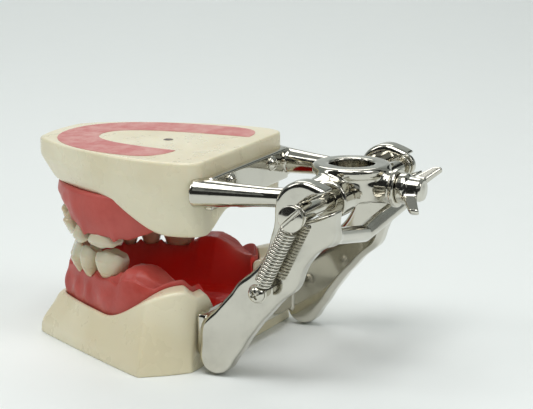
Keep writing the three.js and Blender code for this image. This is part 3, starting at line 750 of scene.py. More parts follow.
def lower_gum_shape():
    """Gum horseshoe: a wall up from the ivory rim, a rolled crest along the tooth line, a tongue floor.

    The wall stands out over each root. The crest rises to a point between teeth, swells behind the last
    tooth and sinks towards the heel.
    """
    rim = lower_rim()
    edge = scaled(lower_seat(rim), 0.985)
    rim_z = rim_height(rim[:, 0], rim[:, 1])
    _, s = along_arch(edge[:, 0], edge[:, 1], "lower")
    bulge = roots(s, "lower") * smooth(-edge[:, 1], 24, 30)
    crest_at_edge = lower_top(scaled(edge, 0.96))
    tall = np.maximum(crest_at_edge - rim_z, 3.0)
    loops = [level(scaled(edge, 0.6), LOWER_FLOOR + 0.4), level(edge, LOWER_FLOOR + 0.4)]
    for u in np.linspace(0, 1, 14):
        over_root = bulge * math.sin(math.pi * min(u * 1.25, 1))
        out = 1 + 0.030 * over_root + 0.012 * math.sin(math.pi * u) - 0.02 * u
        loops.append(level(scaled_by(edge, out), rim_z - 1.0 + (tall - 0.6) * u))
    for share in np.concatenate([np.linspace(0.972, 0.94, 5), np.linspace(0.93, 0.06, 56)]):
        ring = scaled(edge, share)
        drop = 1.6 * smooth(share, 0.93, 0.975)
        loops.append(level(ring, lower_top(ring) - drop))
    return lofted(loops)


def lower_top(ring):
    """Height of the lower gum's top over plan points."""
    x, y = ring[:, 0], ring[:, 1]
    side, s = along_arch(x, y, "lower")
    last = row_places("lower")[-1]
    end = last[5] + last[1] / 2
    behind = smooth(s, end - 0.5, end + 4)
    swell = 3.6 * behind * (1 - smooth(s, end + 8, end + 20) * 1.4)
    pad = 0.7 * blob(s, end + 7, 3.2) * blob(side, 1, 4)
    crest = LOWER_CREST + swell + pad
    inside = smooth(-side, 3.2, 10.5)
    outside = smooth(side, 4.4, 7.2) * 1.2
    tongue = 13.0 + 0.6 * np.cos(x / 9) - 1.4 * smooth(np.abs(x), 3, 9) * (1 - smooth(np.abs(x), 9, 16))
    z = crest + (tongue - crest) * inside - outside
    ring_dip = blob(side, 0, 3.6) * (1 - behind) * 0.5
    point = papillae(s, "lower") * (1 - behind) * blob(np.abs(side), 3.2, 1.9) * 1.7
    lip = blob(side, 4.6, 1.0) * (1 - behind) * (0.5 - 0.5 * papillae(s, "lower"))
    heel_end = smooth(y, -12, -5) * 2.0
    uneven = 0.12 * wave(x * 0.9 + y * 0.5, y * 1.3 - x * 0.4, (x + y) * 0.35)
    return z - ring_dip + point + lip - heel_end + uneven


def upper_outline():
    """Plan of the upper base at its rim."""
    return outline(UPPER_FRONT, 12.5, 34, -17, 27, HEEL_BACK)


UNDER, LIP, OVERHANG, HEEL_DROP = 50.6, 7.0, 5.6, 10.3


def upper_border(x, y):
    """Lower edge of the upper ivory wall: level in front, a deep lobe at each heel."""
    lobe = smooth(y, -44, -14) * (0.45 + 0.55 * smooth(np.abs(x), 10, 27))
    return UNDER - HEEL_DROP * lobe


def tucked(loop, share):
    """The outline with its front drawn back under the overhanging rim."""
    return np.stack([loop[:, 0] * (1 - 0.05 * share),
                     loop[:, 1] + OVERHANG * share * smooth(-loop[:, 1], 38, 70)], axis=1)


INLAY_PROUD = 0.12  # how far the inlay stands out of the ivory, mm


def upper_base_shape():
    """Ivory block: underside, wall drawn in under the rim, upright rim, flat top face."""
    rim = upper_outline()
    foot = tucked(rim, 1)
    border = upper_border(rim[:, 0], rim[:, 1])
    r = sizes().bevel
    top = UPPER_TOP - INLAY_PROUD
    loops = [level(scaled(foot, 0.52), UNDER + 1), level(scaled(foot, 0.6), border),
             level(foot * (0.985, 1), border),
             level(tucked(rim, 0.1), UPPER_TOP - LIP), level(rim, UPPER_TOP - LIP + 1.5),
             level(rim, top), level(scaled(rim, 0.9), top)]
    return lofted(refined(filleted(loops, [0, 2, 1.8, 3, 1.5, r * 0.8, 0], 7), 1.6))


def upper_gum_shape():
    """Gum under the upper base: a wall that stands out over the roots, scalloped margin, arched palate."""
    full = outline(UPPER_FRONT + OVERHANG + 0.4, 11, 30, -31, 22, -19)
    _, s = along_arch(full[:, 0], full[:, 1], "upper")
    bulge = roots(s, "upper")
    margin = upper_under(drawn(full, 0.955))
    top = UNDER + 0.2
    loops = [level(drawn(full, 0.9), top), level(drawn(full, 0.985), top)]
    for u in np.linspace(0, 1, 16):
        over_root = bulge * math.sin(math.pi * min(1, u * 1.15)) * u
        out = 1 + 0.028 * over_root + 0.012 * math.sin(math.pi * u) - 0.035 * u * u * u
        loops.append(level(drawn_by(full, out), top - 0.6 + (margin + 0.6 - top) * u))
    for share in np.linspace(0.95, 0.05, 56):
        ring = drawn(full, share)
        loops.append(level(ring, upper_under(ring)))
    return lofted(loops)


def upper_neck(y):
    """Level of the upper necks: even along the sides, rising round the front."""
    return 37.4 + 7.6 * smooth(-y, 46, 66)


def drawn(points, share):
    """The upper gum's outline drawn in by one share all round."""
    return drawn_by(points, np.full(len(points), share))


def drawn_by(points, shares):
    """The upper gum's outline drawn in about its own middle, its rear edge staying where it is."""
    y = np.minimum(-43 + (points[:, 1] + 43) * shares, -19 - (1 - shares) * 0.01)
    return np.stack([points[:, 0] * shares, y], axis=1)


def upper_under(ring):
    """Height of the upper gum's underside over plan points."""
    x, y = ring[:, 0], ring[:, 1]
    side, s = along_arch(x, y, "upper")
    margin = upper_neck(y) + 3.4 * smooth(y, -31, -19)
    inside = smooth(-side, 4.0, 13.5)
    palate = 48.6 - 1.2 * blob(x, 0, 3) + 0.25 * np.sin(y * 1.1) * smooth(-y, 42, 56)
    z = margin + (palate - margin) * inside
    point = papillae(s, "upper") * blob(np.abs(side), 3.4, 1.8) * smooth(-y, 22, 26) * 1.3
    lip = blob(side, 4.4, 1.0) * 0.5
    uneven = 0.1 * wave(x * 0.8 - y * 0.6, y * 1.2 + x * 0.3)
    return z - point - lip + uneven


# ---- teeth ---------------------------------------------------------------------------------------
TOOTH_SIDES = 56                # points round each tooth
BACK_TEETH = ("premolar", "molar")
NECK_BACK, NECK_FRONT = 0.80, 0.74  # neck width as a share of the crown's


def crown(kind, jaw, wide, deep, tall):
    """Loops of one tooth, neck to biting end, about its own neck: widths, depths and the end's relief.

    Up the tooth the section grows from the neck to the greatest bulge and closes in again. Front teeth
    thin to an edge that runs along the arch, back teeth keep a broad table with cusps and a groove.
    """
    back = kind in BACK_TEETH
    u = np.concatenate([np.linspace(0, 0.86, 26), np.linspace(0.88, 1, 14)])
    a = np.linspace(0, 2 * np.pi, TOOTH_SIDES, endpoint=False)
    c, s = np.cos(a)[None], np.sin(a)[None]
    square = 2.4 if back else 2.2
    reach = (np.abs(c) ** square + np.abs(s) ** square) ** (-1 / square)
    v = u[:, None]
    neck = NECK_BACK if back else NECK_FRONT
    bell = neck + (1 - neck) * np.sin(np.clip(v / 0.62, 0, 1) * np.pi / 2) ** 1.2
    closing = np.sqrt(np.clip(1 - ((v - 0.80) / 0.20).clip(0, 1) ** 2.2, 0.0004, 1))
    if back:
        table = 0.12 + 0.88 * closing
        belly = 0.86 + 0.14 * np.sin(np.clip(v / 0.5, 0, 1) * np.pi / 2)
        across = bell * (1 - 0.10 * smooth(v, 0.55, 0.95)) * table
        through = belly * (1 - 0.30 * smooth(v, 0.45, 0.95)) * table
    else:
        across = bell * (0.25 + 0.75 * closing ** 0.6)
        belly = 0.90 + 0.10 * np.sin(np.clip(v / 0.3, 0, 1) * np.pi)
        through = belly * (1 - 0.76 * smooth(v, 0.12, 0.98)) * (0.35 + 0.65 * closing)
        if kind == "canine":
            across = across * (1 - 0.35 * smooth(v, 0.72, 1.0))
    x = wide / 2 * across * c * reach
    y = deep / 2 * through * s * reach
    if not back:
        y = y - 0.9 * np.sin(v * np.pi / 2) * (1 if jaw == "upper" else 0.6)
    z = tall * v + 0 * x
    if back:
        rise = smooth(v, 0.62, 1.0)
        lobes = np.cos(2 * np.pi * x / wide * (1.0 if kind == "premolar" else 2.0))
        ridge = smooth(np.abs(y), 0.3, deep * 0.26)
        relief = 0.75 * ridge - 0.9 * (1 - ridge) - 0.28 * (1 - lobes) * ridge
        z = z + np.sign(tall) * rise * (relief - 0.5)
        y = y * (1 + 0.05 * np.cos(2 * a)[None] * v)
    elif kind == "canine":
        z = z - np.sign(tall) * smooth(v, 0.8, 1) * np.abs(x) * 0.35
    return np.stack([x, y, z], axis=-1)


def root(wide, deep, length, sign):
    """Loops of the stump under a neck, deep end first: a shrinking oval, cleft under a back tooth."""
    a = np.linspace(0, 2 * np.pi, TOOTH_SIDES, endpoint=False)[None]
    v = np.linspace(1, 0.02, 12)[:, None]
    size = 1 - 0.45 * v ** 1.5
    x = wide / 2 * size * np.cos(a)
    y = deep / 2 * size * np.sin(a) * (1 - 0.25 * v * (np.abs(np.sin(a)) ** 4))
    return np.stack([x, y, -sign * length * v + 0 * a], axis=-1)


MARGIN_BEHIND = 4.0             # the gum line at a tooth is read this far behind its middle, mm


def tooth_shape(kind, jaw, wide, deep, here, yaw, side):
    """One tooth in place: stump and crown lofted together, turned along the arch."""
    x, y = here
    sign = 1 if jaw == "lower" else -1
    if jaw == "lower":
        neck = LOWER_CREST + 0.25
        tip = BITE - 0.35
    else:
        neck = upper_neck(y + MARGIN_BEHIND) - 0.25
        tip = BITE + 0.35 + 2.6 * smooth(-y, 49, 65)
    tall = tip - neck
    narrow = NECK_BACK if kind in BACK_TEETH else NECK_FRONT
    loops = np.concatenate([
        root(wide * narrow * 0.97, deep * 0.84, 3.2, sign),
        crown(kind, jaw, wide, deep * (1 if jaw == "upper" else 0.94), tall)])
    if sign < 0:
        loops = loops[:, ::-1]
    turn = yaw * side
    c, s = math.cos(turn), math.sin(turn)
    px, py = loops[..., 0].copy(), loops[..., 1].copy()
    loops[..., 0] = px * c - py * s + side * x
    loops[..., 1] = px * s + py * c + y
    loops[..., 2] += neck
    return lofted(loops)


# ---- castings ------------------------------------------------------------------------------------
LUG_OUT, LUG_T = 36.0, 7.0
PIN_R = 2.6
SLOT_RISE = math.radians(24)
SLOT_END = (PIN[1] + 3.5 * math.cos(SLOT_RISE), PIN[2] + 3.5 * math.sin(SLOT_RISE))
LEG = [(4.4, 4.4, 6.2), (6.8, 11.4, 7.7), (17.8, 25, 7), (26.2, 33, 6.9), (30.6, 43, 7),
       (PIN[1] - 0.6, PIN[2] + 0.4, 9.2), (SLOT_END[0] + 0.5, SLOT_END[1] - 0.2, 6.9)]
WEB_ROOT = (PIN[1] + 5.4, PIN[2] - 5.8, 4.9)
POST = (22.3, 28.6)
SPRING_X = 41.6
PLATE_Y = (HEEL_BACK + 0.3, HEEL_BACK + 4.3)
BOSS_Y = PIN[1] + 0.4
BOSS_TOP, BOSS_BOTTOM = 63.2, 52.0
BARREL_Z, BARREL_END = 56.4, 50.0


def bracket_field(p):
    """Two cranked side plates, the bar that joins them high up, the plate screwed to the lower jaw."""
    p = p * 1.0
    p[:, 0] = np.abs(p[:, 0])
    edge, blend = sizes().edge, sizes().fillet
    flat = strap(p, LEG[0], LEG[1])
    for a, b in list(zip(LEG[1:], LEG[2:])) + [(LEG[4], WEB_ROOT), (LEG[6], WEB_ROOT)]:
        flat = melt(flat, strap(p, a, b), 1.6)
    flat = flat + 0.35
    plate = rounded(flat, p[:, 0] - (LUG_OUT - LUG_T / 2), LUG_T / 2, edge)
    a, b = np.array([0, 39.6, 40.4]), np.array([LUG_OUT - LUG_T + 0.8, WEB_ROOT[0] + 2, WEB_ROOT[1] - 2])
    web = taper(p, a, b, 2.75, 2.6)
    rear = brick(p, (0, sum(PLATE_Y) / 2, 10.25), (LUG_OUT - 2.6, 2.0, 6.75), 1.0)
    body = melt(melt(plate, web, blend), rear, 1.2)
    post = drum(p, 0, POST, 2.1, LUG_OUT - 2, SPRING_X + 0.8, 0.2)
    body = melt(body, post, 0.5)
    mouth = (PIN[1] + 14 * math.cos(SLOT_RISE), PIN[2] + 14 * math.sin(SLOT_RISE), PIN_R + 0.9)
    slot = strap(p, (PIN[1], PIN[2], PIN_R + 0.2), mouth)
    return carve(body, slot, 0.6)


def frame_field(p):
    """Two tapered arms, the hinge barrels, the rod boss with its ring, the clamp barrel, the jaw plate."""
    p = p * 1.0
    p[:, 0] = np.abs(p[:, 0])
    jaw, hinge = (29.6, HEEL_BACK - 2.6, 55.3), (24.6, 24, 55.4)
    length = np.linalg.norm(np.subtract(hinge, jaw))
    along = np.subtract(hinge, jaw) / length
    run = (p - jaw) @ along
    across = np.linalg.norm(p - jaw - run[:, None] * along, axis=1)
    radius = np.interp(run, [0, 0.8, 5, 15, 24, 33], [4.5, 4.8, 4.4, 3.65, 3.15, 3.1])
    arm = np.maximum(across - radius, np.maximum(-run, run - length - 4.5))
    eye = drum(p, 0, (PIN[1], PIN[2]), 6.2, 8, 17.5, 0.7)
    end = np.array(hinge) + along * 4.5
    shoulder = taper(p, (6, PIN[1] - 2.4, 57.6), end, 5.2, 3.5)
    boss = drum(p, 2, (0, BOSS_Y), 9.7, BOSS_BOTTOM, BOSS_TOP - 2, 0.7)
    ring = drum(p, 2, (0, BOSS_Y), 12.6, BOSS_TOP - 3.6, BOSS_TOP, 1.3)
    barrel = drum(p, 1, (0, BARREL_Z), 5.3, PIN[1], BARREL_END, 0.5)
    plate = brick(p, (0, (PLATE_Y[0] + PLATE_Y[1] - 1) / 2, 54.7), (27.9, 1.5, 5.3), 0.7)
    body = melt(melt(arm, eye, 2.2), shoulder, 2.5)
    body = melt(body, boss, 2.2)
    body = melt(body, barrel, 1.8)
    body = melt(body, ring, 1.3)
    body = melt(body, plate, 1.2)
    bore = np.linalg.norm(p[:, :2] - (0, BOSS_Y), axis=1) - 7.3
    pin = np.maximum(np.linalg.norm(p[:, 1:] - PIN[1:], axis=1) - PIN_R - 0.08, 9.8 - p[:, 0])
    thread = np.maximum(np.linalg.norm(p[:, [0, 2]] - (0, BARREL_Z), axis=1) - 2.6, PIN[1] - p[:, 1])
    return carve(carve(carve(body, bore, 0.7), pin, 0.3), thread, 0.4)


def wing_field(p):
    """Hub with a rounded cap, and two swept wings cast with it, parked at an angle."""
    q = p - np.array([0, datum_box("wing_screw")[0][1], BARREL_Z])
    turn = 0.47
    q = np.stack([q[:, 0] * math.cos(turn) - q[:, 2] * math.sin(turn), q[:, 1],
                  q[:, 0] * math.sin(turn) + q[:, 2] * math.cos(turn)], axis=1)
    radius = np.interp(q[:, 1], [0, 2.6, 3.4, 7, 8], [4.85, 4.85, 4.0, 3.7, 3.2])
    hub = np.maximum(np.hypot(q[:, 0], q[:, 2]) - radius, np.maximum(-q[:, 1], q[:, 1] - 8))
    hub = melt(hub, np.linalg.norm((q - (0, 5.4, 0)) / (1, 0.9, 1), axis=1) - 3.1, 0.8)
    x = np.abs(q[:, 0])
    t = np.clip((x - 2) / 9, 0, 1)
    spine = 3.6 + 5.1 * t ** 1.1
    tall = 2.6 - 0.9 * t
    thick = 1.25 - 0.25 * t
    flat = np.hypot(np.maximum(x - 10.4, 0), np.maximum(np.abs(q[:, 1] - spine) - tall + 1.0, 0)) - 1.0
    wing = rounded(flat, q[:, 2], thick, 0.7)
    collar = drum(q, 1, (0, 0), 4.85, 0, 2.4, 0.5)
    return melt(melt(hub, wing, 1.4), collar, 0.4)


# ---- screws, shafts and springs ------------------------------------------------------------------
def screw_field(p, head, height, shank, length):
    """Pan head with a cross recess, standing on z nought, shank below."""
    r = np.hypot(p[:, 0], p[:, 1])
    ball = (head ** 2 + (height * 1.5) ** 2) / (2 * height * 1.5)
    dome = np.linalg.norm(p - (0, 0, height - ball), axis=1) - ball
    pan = np.maximum(rounded(r - head, p[:, 2] - height / 2, height / 2, 0.35), dome)
    stem = np.maximum(r - shank, np.maximum(-length - p[:, 2], p[:, 2] - 0.2))
    body = np.minimum(pan, stem)
    deep = p[:, 2] - height * 0.35
    cross = np.minimum(np.maximum(np.abs(p[:, 0]) - 0.42, np.abs(p[:, 1]) - head * 0.55),
                       np.maximum(np.abs(p[:, 1]) - 0.42, np.abs(p[:, 0]) - head * 0.55))
    cross = np.maximum(cross + np.maximum(0, height - p[:, 2]) * 0.18, -deep)
    return carve(body, cross, 0.12)


def turned_to(points, axis, origin, spin=0.0):
    """Points built about +z laid along +y, +x or -x, spun about their own axis first."""
    c, s = math.cos(spin), math.sin(spin)
    x, y, z = points[:, 0] * c - points[:, 1] * s, points[:, 0] * s + points[:, 1] * c, points[:, 2]
    laid = {"y": (x, z, -y), "x": (z, y, -x), "-x": (-z, -y, -x)}[axis]
    return np.stack(laid, axis=1) + np.array(origin)


SHAFT_HEAD = 2.7  # height of a hinge shaft's head, mm


def shaft_field(p, reach):
    """Hinge shaft: plain pin and slotted cheese head with rounded rim."""
    r = np.hypot(p[:, 0], p[:, 1])
    pin = rounded(r - PIN_R, p[:, 2] - reach / 2, reach / 2 + 0.1, 0.3)
    head = rounded(r - 4.1, p[:, 2] - reach - 1.35, 1.35, 0.55)
    ball = np.linalg.norm(p - (0, 0, reach + 2.75 - 11), axis=1) - 11
    head = np.maximum(head, ball)
    slot = np.maximum(np.abs(p[:, 0]) - 0.55, reach + 1.5 - p[:, 2])
    return carve(np.minimum(pin, head), slot, 0.2)


def tube(path, radius, sides=12):
    """Points and faces of a closed wire: a circle carried along a path on its parallel frame."""
    way = np.gradient(path, axis=0)
    way /= np.linalg.norm(way, axis=1, keepdims=True)
    side = np.zeros_like(path)
    across = np.cross(way[0], (0.3, 0.2, 0.93))
    for k in range(len(path)):
        across = across - way[k] * (across @ way[k])
        across /= np.linalg.norm(across)
        side[k] = across
    other = np.cross(way, side)
    a = np.linspace(0, 2 * np.pi, sides, endpoint=False)
    size = np.full(len(path), radius)
    size[[0, -1]] *= 0.6
    loops = path[:, None] + size[:, None, None] * (side[:, None] * np.cos(a)[None, :, None]
                                                   + other[:, None] * np.sin(a)[None, :, None])
    return lofted(loops)


def spring_path(side):
    """Hook round the shaft, close-wound turns, hook round the lower post, as one wire's middle line."""
    wire = sizes().wire
    top = np.array([SPRING_X, PIN[1], PIN[2]])
    low = np.array([SPRING_X, *POST])
    down = (low - top) / np.linalg.norm(low - top)
    length = np.linalg.norm(low - top)
    out = np.array([1.0, 0, 0])
    over = np.cross(down, out)
    coil_r = 2.8 - wire / 2
    hook = PIN_R + wire / 2 + 0.35
    hook_low = 2.1 + wire / 2 + 0.3
    start, stop = 4.7, length - 3.6
    turns = sizes().turns
    a = np.linspace(0, 2 * np.pi * turns, turns * 26)
    along = start + (stop - start) * a / a[-1]
    coil = top + along[:, None] * down + coil_r * (np.cos(a)[:, None] * out + np.sin(a)[:, None] * over)
    a = np.linspace(math.radians(-205), math.radians(62), 46)
    upper = top + hook * (np.cos(a)[:, None] * -down + np.sin(a)[:, None] * over)
    a = np.linspace(math.radians(62), math.radians(330), 46)
    lower = low + hook_low * (np.cos(a)[:, None] * -down + np.sin(a)[:, None] * over)
    joined = np.vstack([upper, coil, lower])
    middle_line = even(joined, 900)
    kernel = np.ones(9) / 9
    padded = np.vstack([middle_line[:1]] * 4 + [middle_line] + [middle_line[-1:]] * 4)
    soft = np.stack([np.convolve(padded[:, k], kernel, mode="valid") for k in range(3)], axis=1)
    near_coil = smooth(np.abs(((middle_line - top) @ down) - length / 2), (stop - start) / 2 - 1.2,
                       (stop - start) / 2 + 0.4)[:, None]
    path = middle_line * (1 - near_coil) + soft * near_coil
    return path * (side, 1, 1)


# ---- operators -----------------------------------------------------------------------------------
SIDES = (("left", 1), ("right", -1))


VIEW_TURN, VIEW_RISE = 116, 12.8  # degrees
VIEW_DISTANCE = 0.690
STAGE_MIDDLE = Vector((0, 0, 0.04))  # the point that lights and cards face
VIEW_LENS = 2120 / 533 * 36
VIEW_TARGET = Vector((0, (5.11 + PLACE[1]) / 1000, (46.43 + PLACE[2]) / 1000))
LIGHTS = [  # name, turn and rise in degrees, distance, width, height in metres, watts
    ("top_softbox", 95, 74, 1.15, 0.75, 0.75, 6.8),
    ("rear_softbox", 172, 40, 1.2, 0.35, 0.6, 2.6),
    ("front_softbox", 30, 40, 1.3, 0.35, 0.6, 2.2),
    ("far_softbox", 300, 45, 1.4, 0.8, 0.6, 3.6),
]
CARDS = [  # black cards that the metal mirrors: turn, rise, distance, width, height
    (64, 22, 0.75, 0.55, 0.75),
    (98, 12, 0.95, 0.60, 0.45),
    (130, 12, 0.95, 0.55, 0.45),
    (162, 14, 0.95, 0.50, 0.45),
    (128, 52, 0.95, 0.12, 0.60),
    (205, 24, 0.95, 0.22, 0.75),
    (30, 10, 0.90, 0.40, 0.40),
    (255, 20, 1.30, 0.70, 0.25),
]


def direction(turn, rise):
    """Unit vector towards a turn and a rise in degrees; turn 0 is the front, 90 the left side."""
    turn, rise = math.radians(turn), math.radians(rise)
    return Vector((math.sin(turn) * math.cos(rise), -math.cos(turn) * math.cos(rise), math.sin(rise)))


class MakeStage(bpy.types.Operator):
    """Pale paper sweep, studio lights, and the camera"""
    bl_idname = "articulator.stage"
    bl_label = "Stage"

    def execute(self, context):
        scene = context.scene
        run = np.linspace(0, 1, 40)
        profile = np.where(run[:, None] < 0.5, np.stack([(run - 0.5) * 6, run * 0], 1), 0)
        bend = np.clip((run - 0.5) / 0.3, 0, 1) * np.pi / 2
        radius = 0.9
        profile = np.where((run >= 0.5)[:, None], np.stack([np.sin(bend) * radius,
                           radius - np.cos(bend) * radius + np.clip(run - 0.8, 0, 1) * 8], 1), profile)
        back = -direction(VIEW_TURN, 0)
        across = Vector((back.y, -back.x, 0))
        start = Vector((0, 0.01, 0)) + back * 0.75
        points = np.array([[start + back * float(a) + across * float(w) + Vector((0, 0, float(b)))
                            for w in (-4, 4)] for a, b in profile])
        mesh = bpy.data.meshes.new("paper_sweep")
        faces = grid_faces(len(points), 2, wrap=False)[:, ::-1]
        mesh.from_pydata(points.reshape(-1, 3).tolist(), [], faces.tolist())
        mesh.polygons.foreach_set("use_smooth", np.ones(len(mesh.polygons), bool))
        paper = bpy.data.objects.new("paper_sweep", mesh)
        scene.collection.objects.link(paper)
        mesh.materials.append(finish_named("studio_paper"))
        for name, turn, rise, distance, width, height, watts in LIGHTS:
            lamp = bpy.data.lights.new(name, "AREA")
            lamp.shape = "RECTANGLE"
            lamp.size, lamp.size_y, lamp.energy = width, height, watts
            light = bpy.data.objects.new(name, lamp)
            way = direction(turn, rise)
            light.location = STAGE_MIDDLE + way * distance
            light.rotation_euler = way.to_track_quat("Z", "Y").to_euler()
            scene.collection.objects.link(light)
        for k, (turn, rise, distance, width, height) in enumerate(CARDS):
            way = direction(turn, rise)
            flat = way.to_track_quat("Z", "Y")
            middle = STAGE_MIDDLE + way * distance
            corners = [middle + flat @ Vector((a * width / 2, b * height / 2, 0))
                       for a, b in ((-1, -1), (1, -1), (1, 1), (-1, 1))]
            mesh = bpy.data.meshes.new(f"black_card_{k + 1}")
            mesh.from_pydata([tuple(c) for c in corners], [], [(0, 1, 2, 3)])
            card = bpy.data.objects.new(mesh.name, mesh)
            mesh.materials.append(finish_named("black_card"))
            card.visible_camera = False
            card.visible_shadow = False
            card.visible_diffuse = False
            scene.collection.objects.link(card)
        world = bpy.data.worlds.new("studio_air")
        world.use_nodes = True
        world.node_tree.nodes["Background"].inputs[0].default_value = (0.90, 0.96, 0.94, 1)
        world.node_tree.nodes["Background"].inputs[1].default_value = 0.29
        scene.world = world
        camera = bpy.data.cameras.new("camera")
        camera.lens = VIEW_LENS
        camera.clip_start = 0.01
        eye = bpy.data.objects.new("camera", camera)
        way = direction(VIEW_TURN, VIEW_RISE)
        eye.location = VIEW_TARGET + way * VIEW_DISTANCE
        eye.rotation_euler = way.to_track_quat("Z", "Y").to_euler()
        scene.collection.objects.link(eye)
        scene.camera = eye
        scene.view_settings.view_transform = "Standard"
        return {"FINISHED"}


class MakeBases(bpy.types.Operator):
    """Ivory acrylic bases of both jaws"""
    bl_idname = "articulator.bases"
    bl_label = "Jaw bases"

    def execute(self, context):
        finished("lower_jaw_base", lower_base_shape(), "lower_frame", "lower_base", "ivory_acrylic")
        finished("upper_jaw_base", upper_base_shape(), "upper_jaw", "upper_base", "ivory_acrylic")
        return {"FINISHED"}


class MakeGums(bpy.types.Operator):
    """Gums of both jaws"""
    bl_idname = "articulator.gums"
    bl_label = "Gums"

    def execute(self, context):
        finished("lower_gum", lower_gum_shape(), "lower_frame", "lower_gingiva", "gum_silicone")
        finished("upper_gum", upper_gum_shape(), "upper_jaw", "upper_gingiva", "gum_silicone")
        return {"FINISHED"}


class MakeInlay(bpy.types.Operator):
    """Finish the horseshoe inlay and the vent plug in the top face"""
    bl_idname = "articulator.inlay"
    bl_label = "Inlay and plug"

    def execute(self, context):
        refinish("upper_inlay", "inlay_red")
        low, high = datum_box("vent_plug")
        here = (low + high) / 2
        radius = (high[0] - low[0]) / 2

        def plug(p):
            return drum(p, 2, here[:2], radius, low[2], UPPER_TOP, 0.3)

        corner = np.array((here[0] + radius, here[1] + radius, UPPER_TOP))
        finished("vent_stopper", skin(plug, low, corner, 0.2), "upper_jaw", "vent_plug", "dark_plug")
        return {"FINISHED"}


class MakeTeeth(bpy.types.Operator):
    """Tooth crowns on their stumps, both rows"""
    bl_idname = "articulator.teeth"
    bl_label = "Teeth"

    def execute(self, context):
        for jaw, body in (("upper", "upper_jaw"), ("lower", "lower_frame")):
            for kind, wide, deep, here, yaw, _ in row_places(jaw):
                for label, side in SIDES:
                    shape = tooth_shape(kind, jaw, wide, deep, here, yaw, side)
                    finished(f"{jaw}_{kind}_crown_{label}", shape, body, f"{jaw}_{kind}_{label}",
                             "tooth_resin")
        return {"FINISHED"}


class MakeCastings(bpy.types.Operator):
    """Nickel-plated bracket and upper frame"""
    bl_idname = "articulator.castings"
    bl_label = "Castings"

    def execute(self, context):
        for name, field, node, body in (("bracket_casting", bracket_field, "lower_bracket", "lower_frame"),
                                        ("frame_casting", frame_field, "upper_frame", "upper_jaw")):
            finished(name, skin(field, *datum_box(node), sizes().grain), body, node, "nickel_casting")
        return {"FINISHED"}


WASHER_CLEAR = 0.12  # gap left between the washer and the wing screw's collar, mm


class MakeClamp(bpy.types.Operator):
    """Wing screw, its shank and the clamp washer"""
    bl_idname = "articulator.clamp"
    bl_label = "Clamp"

    def execute(self, context):
        finished("wing_screw_casting", skin(wing_field, *datum_box("wing_screw"), 0.3), "wing_screw_body",
                 "wing_screw", "nickel_fastener")
        low, high = datum_box("clamp_washer")
        start, stop = low[1], high[1] - WASHER_CLEAR

        def washer(p):
            disc = drum(p, 1, (0, BARREL_Z), 6.2, start, stop, 0.35)
            return carve(disc, drum(p, 1, (0, BARREL_Z), 2.6, start - 3, stop + 3, 0.1), 0.2)

        finished("clamp_washer_turned", skin(washer, low, high, 0.25), "clamp_follower", "clamp_washer",
                 "nickel_fastener")
        refinish("wing_screw_shank", "nickel_fastener")
        return {"FINISHED"}


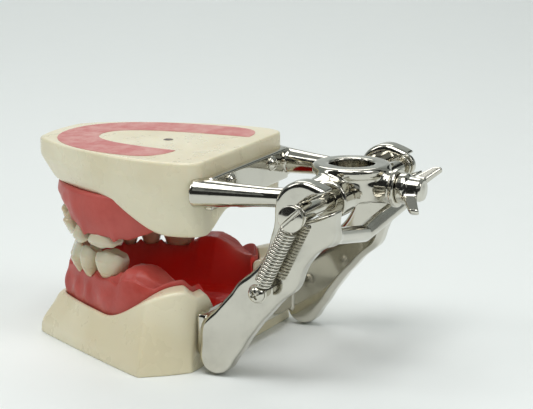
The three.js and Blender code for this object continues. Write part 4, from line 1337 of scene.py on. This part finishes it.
class MakeScrews(bpy.types.Operator):
    """Cross-recess screws of the jaws and spring posts, and the slotted hinge shafts"""
    bl_idname = "articulator.screws"
    bl_label = "Screws and shafts"

    def execute(self, context):
        for jaw, body, head, height, spin in (("lower", "lower_frame", 2.9, 2.0, 0.3),
                                              ("upper", "upper_jaw", 2.7, 1.9, 1.0)):
            for k in (1, 2):
                node = f"{jaw}_jaw_screw_{k}"
                low, high = datum_box(node)
                here = (low + high) / 2
                here[1] = high[1] - height
                length = high[1] - low[1] - height
                points, faces = skin(lambda p: screw_field(p, head, height, 1.5, length),
                                     (-head, -head, -length), (head, head, height), 0.16)
                finished(f"{node}_cross_recess", (turned_to(points, "y", here, spin * k), faces), body, node,
                         "nickel_fastener")
        for label, side in SIDES:
            outwards = "x" if side > 0 else "-x"
            node = f"spring_post_screw_{label}"
            low, high = datum_box(node)
            here = (low + high) / 2
            here[0] = low[0] if side > 0 else high[0]
            points, faces = skin(lambda p: screw_field(p, 2.95, 2.0, 1.0, 0.02), (-3, -3, -0.1),
                                 (3, 3, 2.0), 0.16)
            finished(f"{node}_cross_recess", (turned_to(points, outwards, here, 0.5), faces),
                     "lower_frame", node, "nickel_fastener")
            node = f"hinge_shaft_{label}"
            low, high = datum_box(node)
            reach = high[0] - low[0] - SHAFT_HEAD
            points, faces = skin(lambda p: shaft_field(p, reach), (-4.1, -4.1, 0),
                                 (4.1, 4.1, reach + SHAFT_HEAD), 0.25)
            start = (low[0] if side > 0 else high[0], PIN[1], PIN[2])
            finished(f"{node}_slotted", (turned_to(points, outwards, start, 0.75), faces),
                     "hinge_carriage", node, "nickel_fastener")
        return {"FINISHED"}


class MakeSprings(bpy.types.Operator):
    """Wire tension springs between the shafts and the posts"""
    bl_idname = "articulator.springs"
    bl_label = "Springs"

    def execute(self, context):
        for label, side in SIDES:
            wire = tube(spring_path(side), sizes().wire / 2, 10)
            piece = finished(f"tension_spring_{label}", wire, None, f"spring_{label}", "nickel_fastener")
            low = (np.array([side * SPRING_X, *POST]) + PLACE) / 1000
            top = (np.array([side * SPRING_X, PIN[1], PIN[2]]) + PLACE) / 1000
            tuple(low + (top - low) * 0.12)
            tuple(top - (top - low) * 0.14)
            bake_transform(piece)
        return {"FINISHED"}


class ArticulatorPanel(bpy.types.Panel):
    """Sidebar panel with every piece of the articulator"""
    bl_label = "Articulator"
    bl_idname = "VIEW3D_PT_articulator"
    bl_space_type = "VIEW_3D"
    bl_region_type = "UI"
    bl_category = "Articulator"

    def draw(self, context):
        for group in (context.scene.articulator_sizes, context.scene.articulator_colours):
            for key in group.__annotations__:
                self.layout.prop(group, key)
        for step in MAKERS:
            self.layout.operator(step.bl_idname)


MAKERS = (MakeStage, MakeBases, MakeGums, MakeInlay, MakeTeeth, MakeCastings, MakeClamp, MakeScrews,
          MakeSprings)
CLASSES = (ArticulatorColours, ArticulatorSizes, *MAKERS, ArticulatorPanel)


def register():
    for kind in CLASSES:
        bpy.utils.register_class(kind)
    bpy.types.Scene.articulator_colours = bpy.props.PointerProperty(type=ArticulatorColours)
    bpy.types.Scene.articulator_sizes = bpy.props.PointerProperty(type=ArticulatorSizes)


def unregister():
    del bpy.types.Scene.articulator_sizes
    del bpy.types.Scene.articulator_colours
    for kind in reversed(CLASSES):
        bpy.utils.unregister_class(kind)


def main():
    register()
    for step in MAKERS:
        group, name = step.bl_idname.split(".")
        getattr(getattr(bpy.ops, group), name)()


if __name__ == "__main__":
    main()
